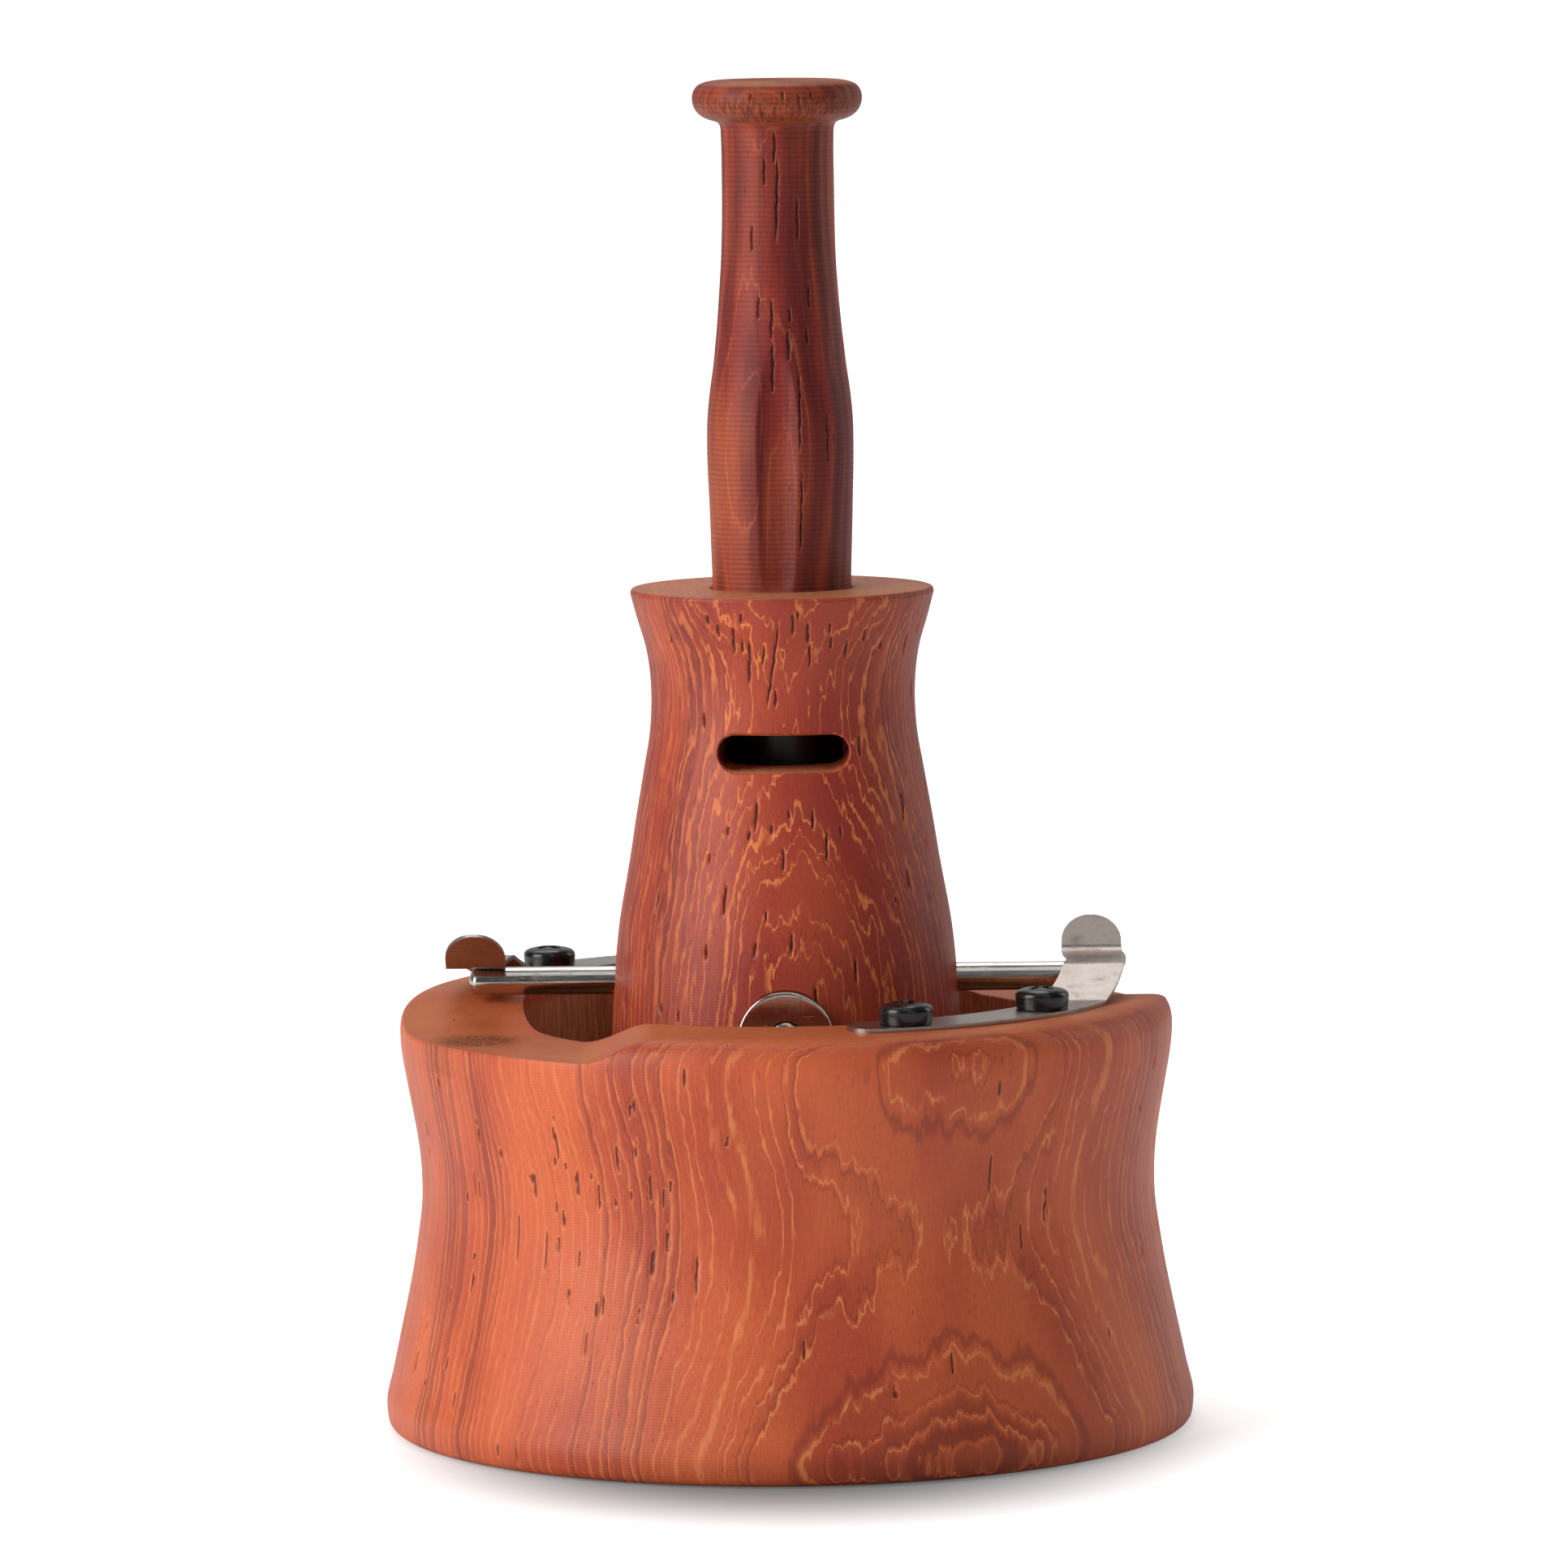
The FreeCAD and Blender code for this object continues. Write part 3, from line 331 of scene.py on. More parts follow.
def black_oxide(name):
    g = Graph(name)
    p, x, y, z = g.coords()
    n1 = g.noise(g.scaled(x, y, z, 1.6, 1.6, 1.6, 2.0), 1.0, 4.0, 0.65)
    n2 = g.noise(g.scaled(x, y, z, 9.0, 9.0, 9.0, 5.0), 1.0, 3.0, 0.6)
    geo = g.new("ShaderNodeNewGeometry")
    edge = g.step(geo.outputs["Pointiness"], 0.52, 0.60)
    c = g.mix(g.step(n1, 0.35, 0.70), srgb(11, 11, 13), srgb(24, 23, 25))
    c = g.mix(g.m("MULTIPLY", g.m("MULTIPLY", edge, g.step(n1, 0.42, 0.6)), 0.5), c, srgb(112, 104, 98))
    ro = g.m("ADD", 0.14, g.m("MULTIPLY", n1, 0.20))
    h = g.m("ADD", g.m("MULTIPLY", n1, 0.014), g.m("MULTIPLY", n2, 0.006))
    return g.shader(c, ro, 0.0, g.bump(h, 1.0, 0.8), 0.42, 0.12, 0.10)


def rubber(name, tone=(22, 20, 20)):
    g = Graph(name)
    p, x, y, z = g.coords()
    n1 = g.noise(g.scaled(x, y, z, 0.7, 0.7, 0.7, 1.0), 1.0, 4.0, 0.6)
    n2, _ = g.cells(g.scaled(x, y, z, 4.0, 4.0, 4.0, 3.0), 1.0)
    a = srgb(*tone)
    c = g.mix(g.step(n1, 0.4, 0.7), a, tuple(v * 2.0 for v in a[:3]) + (1.0,))
    h = g.m("ADD", g.m("MULTIPLY", n2, 0.03), g.m("MULTIPLY", n1, 0.02))
    return g.shader(c, g.m("MULTIPLY_ADD", n1, 0.25, 0.6), 0.0, g.bump(h, 1.0, 1.0), 0.3)


def moulded(name, tone, rough=0.35, translucent=0.0):
    g = Graph(name)
    p, x, y, z = g.coords()
    n1 = g.noise(g.scaled(x, y, z, 0.9, 0.9, 0.35, 1.0), 1.0, 4.0, 0.6)
    n2 = g.noise(g.scaled(x, y, z, 6.0, 6.0, 2.0, 6.0), 1.0, 3.0, 0.6)
    a = srgb(*tone)
    c = g.mix(g.step(n1, 0.35, 0.7), a, tuple(v * 0.72 for v in a[:3]) + (1.0,))
    h = g.m("ADD", g.m("MULTIPLY", n2, 0.012), g.m("MULTIPLY", n1, 0.01))
    return g.shader(c, g.m("MULTIPLY_ADD", n2, 0.2, rough), 0.0, g.bump(h, 1.0, 1.0), 0.5, 0.0, 0.2,
                    0.0, 0.0, translucent)


def cork(name):
    g = Graph(name)
    p, x, y, z = g.coords()
    d, cc = g.cells(g.scaled(x, y, z, 1.5, 1.5, 1.5, 1.0), 1.0)
    n1 = g.noise(g.scaled(x, y, z, 2.2, 2.2, 2.2, 4.0), 1.0, 4.0, 0.65)
    c = g.mix(g.step(n1, 0.35, 0.7), srgb(188, 142, 96), srgb(146, 100, 60))
    c = g.mix(g.m("MULTIPLY", g.step(d, 0.20, 0.08), 0.8), c, srgb(74, 44, 26))
    h = g.m("SUBTRACT", g.m("MULTIPLY", n1, 0.08), g.m("MULTIPLY", g.step(d, 0.25, 0.05), 0.12))
    return g.shader(c, 0.85, 0.0, g.bump(h, 1.0, 1.0), 0.2)


# the flat-face colours given below carry a painted sheen as well as the end-grain colour
M_STAND = wood("stand_wood", srgb(180, 75, 47), srgb(203, 96, 57), srgb(116, 42, 36),
               srgb(230, 140, 84), (0.385, -0.923), 1.05, 0.00, 2.3, 0.84, 0.9, 0.30, 0.0035,
               end_grain_sheen_colour=srgb(196, 114, 70), zig=0.7, line_w=0.24, ring_tone=0.05)
M_CALL = wood("call_wood", srgb(152, 52, 40), srgb(172, 69, 45), srgb(102, 33, 32),
              srgb(228, 130, 72), (0.13, -0.991), 0.80, 0.00, 5.9, 1.0, 0.8, 0.28, 0.0030,
              end_grain_sheen_colour=srgb(226, 158, 116), zig=1.15, line_w=0.27, ring_tone=0.04)
M_STEM = wood("stem_wood", srgb(126, 41, 36), srgb(156, 68, 44), srgb(68, 23, 26),
              srgb(186, 100, 62), (-0.30, -0.954), 1.70, 0.00, 9.4, 0.45, 0.7, 0.52, 0.006,
              streak=0.42, rough=0.42, end_grain_sheen_colour=srgb(176, 110, 74), zig=0.5, ring_tone=0.22, spec=0.20,
              stem=True)
M_STRIP = steel("strip_steel", srgb(164, 153, 147), 0.30, 7.0, 0.18, 0.10, "ring")
M_ROD = steel("rod_steel", srgb(190, 186, 180), 0.16, 6.0, 0.15, 0.08, "x")
M_DISC = steel("disc_plate", srgb(206, 198, 190), 0.14, 5.0, 0.10, 0.12, "z")
M_SCREW = black_oxide("black_oxide")
M_PAD = rubber("pad_rubber", (24, 18, 17))
M_SEAL = rubber("seal_rubber", (14, 14, 15))
M_BOARD = moulded("board_black", (30, 30, 32), 0.28)
M_REED = moulded("reed_frost", (214, 212, 198), 0.38, 0.35)
M_CORK = cork("wedge_cork")


# ================================================================ mesh maker
def spline(points, step):
    """Natural cubic through points, resampled about every step mm."""
    p = np.array(points, float)
    d = np.r_[0, np.cumsum(np.linalg.norm(np.diff(p, axis=0), axis=1))]
    n = len(p)
    hh = np.diff(d)
    A = np.zeros((n, n))
    B = np.zeros((n, 2))
    A[0, 0] = A[-1, -1] = 1
    for i in range(1, n - 1):
        A[i, i - 1], A[i, i], A[i, i + 1] = hh[i - 1], 2 * (hh[i - 1] + hh[i]), hh[i]
        B[i] = 6 * ((p[i + 1] - p[i]) / hh[i] - (p[i] - p[i - 1]) / hh[i - 1])
    M = np.linalg.solve(A, B)
    t = np.linspace(0, d[-1], max(2, int(math.ceil(d[-1] / step)) + 1))
    k = np.clip(np.searchsorted(d, t, "right") - 1, 0, n - 2)
    h = hh[k][:, None]
    a = (d[k + 1] - t)[:, None]
    b = (t - d[k])[:, None]
    out = (M[k] * a ** 3 + M[k + 1] * b ** 3) / (6 * h) + (p[k] / h - M[k] * h / 6) * a + \
        (p[k + 1] / h - M[k + 1] * h / 6) * b
    return [tuple(v) for v in out]


def run(a, b, step):
    a, b = np.array(a, float), np.array(b, float)
    n = max(1, int(math.ceil(np.linalg.norm(b - a) / step)))
    return [tuple(a + (b - a) * i / n) for i in range(n + 1)]


def fillet(a, p, b, r, n=6):
    """Points of a round corner of radius r at p between a and b."""
    a, p, b = (np.array(v, float) for v in (a, p, b))
    u = (a - p) / np.linalg.norm(a - p)
    v = (b - p) / np.linalg.norm(b - p)
    ang = math.acos(max(-1, min(1, float(u @ v))))
    back = r / math.tan(ang / 2)
    s, e = p + u * back, p + v * back
    bis = (u + v) / np.linalg.norm(u + v)
    c = p + bis * (r / math.sin(ang / 2))
    a0 = math.atan2(*(s - c)[::-1])
    a1 = math.atan2(*(e - c)[::-1])
    d = (a1 - a0 + math.pi) % (2 * math.pi) - math.pi
    return [tuple(c + r * np.array([math.cos(a0 + d * i / n), math.sin(a0 + d * i / n)]))
            for i in range(n + 1)]


def corners(poly, radii, step, n=6):
    """Polyline with round corners, densified."""
    out = [tuple(poly[0])]
    for i in range(1, len(poly) - 1):
        r = radii[i]
        if r > 0:
            arc = fillet(out[-1] if False else poly[i - 1], poly[i], poly[i + 1], r, n)
        else:
            arc = [tuple(poly[i])]
        out += run(out[-1], arc[0], step)[1:]
        out += arc[1:]
    out += run(out[-1], poly[-1], step)[1:]
    return out


def clean(profile, eps=1e-4):
    out = [profile[0]]
    for q in profile[1:]:
        if math.hypot(q[0] - out[-1][0], q[1] - out[-1][1]) > eps:
            out.append(q)
    return out


def new_object(name, verts, faces, attrs=None, smooth=True):
    me = bpy.data.meshes.new(name)
    me.from_pydata([tuple(v) for v in verts], [], faces)
    me.validate()
    for k, vals in (attrs or {}).items():
        at = me.attributes.new(k, "FLOAT", "POINT")
        at.data.foreach_set("value", np.asarray(vals, np.float32))
    if smooth:
        me.shade_smooth()
    o = bpy.data.objects.new(name, me)
    col.objects.link(o)
    return o


def lathe(name, profile, seg, shape=None, closed=False, attrs=None, offset=(0, 0, 0), axis="z"):
    """Turned solid from (radius, height) points in mm. shape(th, r, z) may move
    the points; attrs maps names to functions of (th, r, z) before the move."""
    prof = clean(profile)
    if closed and math.hypot(prof[0][0] - prof[-1][0], prof[0][1] - prof[-1][1]) < 1e-4:
        prof = prof[:-1]
    pole0 = (not closed) and prof[0][0] < 1e-6
    pole1 = (not closed) and prof[-1][0] < 1e-6
    body = prof[1 if pole0 else 0:len(prof) - 1 if pole1 else len(prof)]
    R = np.array([q[0] for q in body])
    Z = np.array([q[1] for q in body])
    th = np.arange(seg) * 2 * math.pi / seg
    TH, RR = np.meshgrid(th, R)
    _, ZZ = np.meshgrid(th, Z)
    a_vals = {k: fn(TH, RR, ZZ) for k, fn in (attrs or {}).items()}
    if shape:
        RR, ZZ = shape(TH, RR.copy(), ZZ.copy())
    X, Y = RR * np.cos(TH), RR * np.sin(TH)
    V = np.stack([X, Y, ZZ], -1).reshape(-1, 3)
    nr = len(body)
    i = np.arange(nr if closed else nr - 1)
    j = np.arange(seg)
    I, J = np.meshgrid(i, j, indexing="ij")
    a = I * seg + J
    b = I * seg + (J + 1) % seg
    I2 = (I + 1) % nr
    c = I2 * seg + (J + 1) % seg
    d = I2 * seg + J
    F = np.stack([a, b, c, d], -1).reshape(-1, 4).tolist()
    verts = V.tolist()
    flat = {k: list(v.reshape(-1)) for k, v in a_vals.items()}
    if pole0:
        verts.append([0, 0, prof[0][1]])
        k = len(verts) - 1
        F += [[k, (q + 1) % seg, q] for q in range(seg)]
        for v in flat.values():
            v.append(0.0)
    if pole1:
        verts.append([0, 0, prof[-1][1]])
        k = len(verts) - 1
        base = (nr - 1) * seg
        F += [[k, base + q, base + (q + 1) % seg] for q in range(seg)]
        for v in flat.values():
            v.append(0.0)
    verts = np.array(verts)
    if axis == "x":
        verts = verts[:, [2, 0, 1]]
    elif axis == "-y":
        verts = np.stack([verts[:, 0], -verts[:, 2], verts[:, 1]], -1)
    verts = (verts + np.array(offset)) * MM
    return new_object(name, verts, F, flat)


def tidy(o, merge=0.0):
    """Merges doubles, drops empty faces and makes the normals point out."""
    bm = bmesh.new()
    bm.from_mesh(o.data)
    if merge:
        bmesh.ops.remove_doubles(bm, verts=bm.verts, dist=merge * MM)
        bmesh.ops.dissolve_degenerate(bm, edges=bm.edges, dist=merge * MM * 0.5)
    bmesh.ops.recalc_face_normals(bm, faces=bm.faces)
    bm.to_mesh(o.data)
    bm.free()
    o.data.shade_smooth()
    return o


def carve(o, tools, solver="EXACT"):
    """Cuts tools out of o for good."""
    for t in tools:
        mod = o.modifiers.new("cut", "BOOLEAN")
        mod.operation = "DIFFERENCE"
        mod.solver = solver
        mod.object = t
        dg = bpy.context.evaluated_depsgraph_get()
        me = bpy.data.meshes.new_from_object(o.evaluated_get(dg))
        o.modifiers.clear()
        old = o.data
        o.data = me
        me.name = old.name
        bpy.data.meshes.remove(old)
    for t in tools:
        bpy.data.objects.remove(t)
    return o


def sharpen(o, deg=35.0):
    me = o.data
    bm = bmesh.new()
    bm.from_mesh(me)
    lim = math.radians(deg)
    for e in bm.edges:
        if len(e.link_faces) == 2 and e.calc_face_angle(0.0) > lim:
            e.smooth = False
    bm.to_mesh(me)
    bm.free()


def paint(o, mat):
    o.data.materials.clear()
    o.data.materials.append(mat)
    return o


def finish_piece(o, mat, body, slot_name, *cad):
    paint(o, mat)
    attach(o, body)
    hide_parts(*cad)
    return o


K = 1.0


# ============================================================ drawn features
def pores_field(items):
    """Depth map of long open pores; items are (angle deg, z, length, width, lean)."""
    arr = [(math.radians(a), zc, ln / 2, w / 2, lean) for a, zc, ln, w, lean in items]

    def fn(TH, R, Z):
        out = np.zeros_like(TH)
        for a, zc, hl, hw, lean in arr:
            rows = np.abs(Z[:, 0] - zc) < hl * 1.15
            if not rows.any():
                continue
            t, r, z = TH[rows], R[rows], Z[rows]
            da = (t - a + math.pi) % (2 * math.pi) - math.pi
            u = da * r - lean * (z - zc) - 0.035 * np.sin((z - zc) * 2.6 + a * 7)
            w = hw * (0.82 + 0.18 * np.sin((z - zc) * 4.3 + zc))
            q = (u / w) ** 2 + ((z - zc) / hl) ** 4
            out[rows] = np.maximum(out[rows], np.clip(1.25 - q, 0, 1))
        return out
    return fn


# ================================================================= the stand
W_STAND = [(42.2, 0.2), (42.62, 0.55), (42.88, 1.5), (42.95, 2.9), (42.72, 4.2), (42.35, 5.6), (42.0, 7.2),
           (41.3, 10.5), (40.56, 14.0), (39.9, 17.4), (39.35, 20.9), (39.02, 23.4), (38.9, 26.1),
           (39.0, 28.6), (39.3, 31.3), (39.88, 34.7), (40.5, 38.2), (40.84, 40.4), (40.95, 42.2),
           (40.9, 43.3), (40.55, 44.4), (39.9, 45.15), (39.0, 45.62), (37.9, 45.8)]
RIM = 45.8
ZB = RIM - 2.7


def stand_profile():
    st = 0.42 / K
    p = run((0, 1.0), (38.1, 1.0), 2.5)
    p += run((38.1, 1.0), (38.1, 0.2), 0.8)[1:]
    p += run((38.1, 0.2), (41.9, 0.2), 1.0)[1:]
    p += spline(W_STAND, st)
    p += run((37.9, RIM), (28.5, RIM), 0.45 / K)[1:]
    p += fillet((29.5, RIM), (27.9, RIM), (27.9, 40.0), 0.6, 6)
    p += run((27.9, 45.2), (27.9, 42.0), 0.3 / K)[1:]
    p += run((27.9, 42.0), (27.9, 14.0), 0.9 / K)[1:]
    p += fillet((27.9, 20.0), (27.9, 12.0), (20.0, 12.0), 2.0, 8)
    p += run((25.9, 12.0), (0, 12.0), 1.6)[1:]
    return p


def smooth01(t):
    t = np.clip(t, 0, 1)
    return t * t * (3 - 2 * t)


def notch_height(x, y):
    """Height of the cut in the rim; the same cut repeats half a turn round."""
    back = x > 0
    x, y = np.where(back, -x, x), np.where(back, -y, y)
    side = np.where(y < -12, ZB, ZB + 2.72 * smooth01((y + 12) / 17.5) ** 1.15)
    side = np.where(y > 5.5, 99.0, side)
    front = np.where(x < -21.5, ZB, ZB + 2.72 * smooth01((x + 21.5) / 8.0))
    front = np.where(x > -13.5, 99.0, front)
    return np.maximum(side, front)


def stand_shape(TH, R, Z):
    x, y = R * np.cos(TH), R * np.sin(TH)
    lim = notch_height(x, y)
    top = Z > ZB - 1e-9
    cutm = top & (Z > lim)
    # a soft edge all round the cut
    Z = np.where(cutm, lim - 0.10 * smooth01((R - 39.4) / 1.4), Z)
    dep = stand_pores(TH, R, Z)
    outer = (R > 36) & (Z < RIM - 1.2)
    R = R - np.where(outer, dep * 0.22, 0.0)
    # very slight hand-made waviness
    R = R + np.where(outer, 0.035 * np.sin(3 * TH + Z * 0.12) + 0.02 * np.sin(7 * TH - Z * 0.21), 0.0) - \
        np.where(outer, 0.03, 0.0)
    return R, Z


rng = np.random.RandomState(41)
stand_list = []
for k in range(190):
    a = rng.uniform(-180, 180)
    if abs(a + 66) < 40:
        continue
    stand_list.append((a, rng.uniform(5, 43), rng.uniform(1.0, 3.4), rng.uniform(0.42, 0.62),
                       rng.uniform(-0.03, 0.03)))
# the larger marks on the front
for a, zc, ln, w in [(-139, 32.5, 1.6, .5), (-133, 30.2, 1.1, .5), (-128, 27.5, 1.4, .55),
                     (-136, 24.0, 5.5, .5), (-130, 23.0, 4.6, .55), (-125, 18.5, 2.2, .5),
                     (-121, 31.0, 1.0, .5), (-117, 28.6, 1.2, .5), (-111, 22.5, 3.4, .6),
                     (-108, 30.6, 1.4, .6), (-104, 21.5, 4.5, .6), (-99, 35.5, 1.6, .5),
                     (-58, 31.0, 4.4, .5), (-52, 24.0, 3.0, .45), (-47, 27.0, 5.4, .45),
                     (-66, 12.0, 2.6, .5), (-75, 9.5, 2.0, .5), (-88, 14.0, 2.2, .5)]:
    stand_list.append((a, zc, ln, w, 0.02))
stand_pores = pores_field(stand_list)


def rim_edge(TH, R, Z):
    outer = np.exp(-((R - 40.4) ** 2 + (Z - 44.9) ** 2) / 1.3)
    inner = np.exp(-((R - 28.1) ** 2 + (Z - 45.6) ** 2) / 0.8)
    low = np.exp(-((R - 42.4) ** 2 + (Z - 1.4) ** 2) / 1.2)
    return np.clip(outer + inner + low, 0, 1)


def stand_scuff(TH, R, Z):
    """Rough dark patch on the floor of the notch, and a chip under its edge."""
    x, y = R * np.cos(TH), R * np.sin(TH)
    a = np.exp(-(((x + 32.0) / 4.2) ** 2 + ((y + 16.5) / 5.0) ** 2) ** 1.5)
    return np.clip(1.3 * a * (Z > 40), 0, 1)


o = lathe("turned_stand", stand_profile(), 900, stand_shape,
          attrs={"pore": lambda T, R, Z: np.where((R > 36) & (Z < RIM - 1.2), stand_pores(T, R, Z), 0),
                 "inside": lambda T, R, Z: smooth01((28.15 - R) / 0.2) * smooth01((44.6 - Z) / 1.2) * (Z > 11),
                 "edge": rim_edge, "scuff": stand_scuff})
tidy(o, 0.004)
stand = finish_piece(o, M_STAND, "stand", "stand_wood", "stand_body")

# base pad with a soft round edge
o = lathe("foot_pad", [(0, 0.0)] + corners([(2, 0.0), (38.0, 0.0), (38.0, 1.0), (0, 1.0)], [0, .10, .1, 0], 2.0),
          256)
finish_piece(tidy(o), M_PAD, "stand", "base_rubber", "base_pad")


# ============================================================== the call body
TOWER = [(19.25, 13.25), (19.2, 16.0), (19.0, 24.0), (18.75, 34.0), (18.5, 41.7), (18.1, 48.6), (17.55, 53.8),
         (16.98, 57.1), (16.35, 60.6), (15.8, 64.1), (15.2, 67.6), (14.6, 71.0), (14.25, 73.0),
         (14.02, 75.3), (13.95, 77.4), (14.02, 79.5), (14.22, 81.4), (14.62, 83.4), (15.22, 85.4),
         (15.72, 87.2), (16.05, 88.5)]


def call_profile():
    p = run((0, 12.05), (18.0, 12.05), 2.5)
    p += fillet((10, 12.05), (19.25, 12.05), (19.25, 16), 1.1, 8)
    p += spline(TOWER, 0.30 / K)
    p += fillet((15.85, 87.8), (16.1, 89.0), (12.0, 89.0), 0.38, 6)
    p += run((15.5, 89.0), (8.1, 89.0), 0.4 / K)[1:]
    p += fillet((9.0, 89.0), (7.45, 89.0), (7.45, 85.0), 0.45, 6)
    p += run((7.45, 88.4), (7.45, 75.85), 0.8)[1:]
    p += run((7.45, 75.85), (6.75, 75.85), 0.5)[1:]
    p += run((6.75, 75.85), (6.75, 51.5), 0.8)[1:]
    p += run((6.75, 51.5), (0, 50.0), 1.0)[1:]
    return p


call_list = []
rng = np.random.RandomState(77)
for k in range(120):
    call_list.append((rng.uniform(-180, 180), rng.uniform(16, 87), rng.uniform(0.9, 3.0),
                      rng.uniform(0.34, 0.5), rng.uniform(-0.04, 0.04)))
for a, zc, ln, w, lean in [(-116, 85.6, 1.6, .45, 0), (-110, 84.6, 3.2, .5, .05), (-98, 83.0, 2.4, .42, .1),
                           (-94, 82.0, 9.5, .45, .16), (-104, 82.2, 5.0, .5, .06), (-86, 86.3, 2.6, .5, 0),
                           (-80, 85.3, 2.4, .55, 0), (-71, 85.8, 1.2, .45, 0), (-70, 84.2, 1.5, .45, 0),
                           (-63, 83.4, 2.2, .45, .03), (-55, 84.8, 1.6, .4, 0), (-101, 66.2, 3.4, .5, .05),
                           (-95, 64.8, 1.2, .45, 0), (-79, 65.6, 2.0, .4, .06), (-74, 63.0, 3.4, .45, .08),
                           (-88, 53.0, 2.6, .5, .1), (-112, 57.5, 3.6, .45, .05), (-118, 52.0, 2.0, .45, 0),
                           (-80, 47.0, 3.4, .5, -.05), (-66, 50.0, 2.8, .45, 0), (-84, 87.2, 1.0, .5, 0),
                           (-120, 86.7, 1.3, .5, 0), (-106, 86.9, 1.2, .5, 0), (-91, 46.5, 1.8, .45, 0)]:
    call_list.append((a, zc, ln, w, lean))
call_pores = pores_field(call_list)


def call_shape(TH, R, Z):
    outer = (R > 13.4) & (Z < 88.7) & (Z > 13.5)
    dep = call_pores(TH, R, Z)
    R = R - np.where(outer, dep * 0.20, 0.0)
    R = R + np.where(outer, 0.0022 * np.sin(Z * 2 * math.pi / 0.62), 0.0)
    return R, Z


def call_edge(TH, R, Z):
    top = np.exp(-((R - 15.9) ** 2 + (Z - 88.8) ** 2) / 0.5)
    slot = np.exp(-(((np.abs(R * np.cos(TH)) - 4) / 3.4) ** 2 + ((Z - 72.6) / 2.3) ** 2) ** 3) * \
        (np.sin(TH) < 0) * 0.6
    return np.clip(top + slot, 0, 1)


o = lathe("turned_call", call_profile(), 640, call_shape,
          attrs={"pore": lambda T, R, Z: np.where((R > 13.4) & (Z < 88.7) & (Z > 13.5), call_pores(T, R, Z), 0),
                 "edge": call_edge, "scuff": lambda T, R, Z: np.zeros_like(T)})
tidy(o)


def slot_cutter():
    """Round-ended slot with a small bell at the mouth, along -Y."""
    hw, hh = 13.7 / 2, 3.8 / 2
    n = 20
    outline = []
    for s in (1, -1):
        for i in range(n + 1):
            a = -math.pi / 2 + math.pi * i / n
            outline.append((s * (hw - hh + hh * math.cos(a)), s * hh * math.sin(a)))
        for i in range(1, 26):
            outline.append((s * (hw - hh) * (1 - 2 * i / 26.0), s * hh))
    outline = np.array(outline)
    nrm = outline - np.stack([np.clip(outline[:, 0], -(hw - hh), hw - hh), np.zeros(len(outline))], -1)
    nrm /= np.linalg.norm(nrm, axis=1)[:, None]
    rings = [(-2.5, 0.0), (-8.0, 0.0), (-11.0, 0.0)]
    # the wall bends away at the mouth, so the bell follows the round of the body
    for d, g_ in [(0.42, 0.0), (0.28, 0.02), (0.16, 0.06), (0.07, 0.12), (0.0, 0.20), (-0.8, 0.9)]:
        rings.append((("surf", d), g_))
    rings.append((-20.0, 0.9))
    verts, faces = [], []
    m = len(outline)
    for dep, grow in rings:
        pts = outline + nrm * grow
        for px, pz in pts:
            if isinstance(dep, tuple):
                rr = 14.32 - pz * 0.17
                yy = -math.sqrt(rr * rr - px * px) + dep[1]
            else:
                yy = dep
            verts.append((px, yy, 72.6 + pz))
    k = len(rings)
    for i in range(k - 1):
        for j in range(m):
            a, b = i * m + j, i * m + (j + 1) % m
            faces.append((a, b, b + m, a + m))
    faces.append(tuple(range(m))[::-1])
    faces.append(tuple((k - 1) * m + j for j in range(m)))
    c = new_object("slot_cutter", np.array(verts) * MM, faces)
    return tidy(c)


def rod_cutter(side):
    prof = [(0, 4.0), (1.53, 4.0), (1.53, 17.6), (1.60, 17.9), (1.75, 18.1), (2.1, 18.6), (2.1, 22.0), (0, 22.0)]
    c = lathe("rod_cutter", prof, 64, None, axis="x", offset=(0, 0, 0))
    v = np.zeros(len(c.data.vertices) * 3)
    c.data.vertices.foreach_get("co", v)
    v = v.reshape(-1, 3)
    if side < 0:
        v[:, 0] *= -1
    v[:, 2] += 47.35 * MM
    c.data.vertices.foreach_set("co", v.reshape(-1))
    return tidy(c)


def seat_cutter():
    prof = [(0, 17.9), (5.12, 17.9), (5.12, 22.0), (0, 22.0)]
    c = lathe("seat_cutter", prof, 96, None, axis="-y", offset=(-0.1, 0, 43.2))
    return tidy(c)


carve(o, [slot_cutter(), rod_cutter(1), rod_cutter(-1), seat_cutter()])
sharpen(o, 42)
call = finish_piece(o, M_CALL, "call", "call_wood", "call_body")


# ================================================================ mouthpiece
STEM = [(7.35, 90.4), (7.42, 92.6), (7.5, 95.3), (7.6, 98.7), (7.7, 101.4), (7.74, 104.2), (7.66, 107.2),
        (7.48, 109.1), (7.26, 110.8), (7.0, 112.6), (6.82, 114.3), (6.63, 116.0), (6.47, 117.8),
        (6.33, 119.5), (6.21, 121.2), (6.08, 123.2), (5.99, 125.6), (5.93, 128.5), (5.91, 132.0),
        (5.91, 135.2), (5.95, 137.0)]
LIP = [(5.98, 137.4), (6.15, 137.85), (6.9, 138.2), (7.8, 138.55), (8.5, 139.15), (8.88, 139.95), (8.95, 140.65),
       (8.8, 141.3), (8.4, 141.85), (7.7, 142.2), (6.7, 142.4), (5.4, 142.45), (4.4, 142.2), (3.7, 141.6),
       (3.34, 140.6), (3.25, 139.4)]


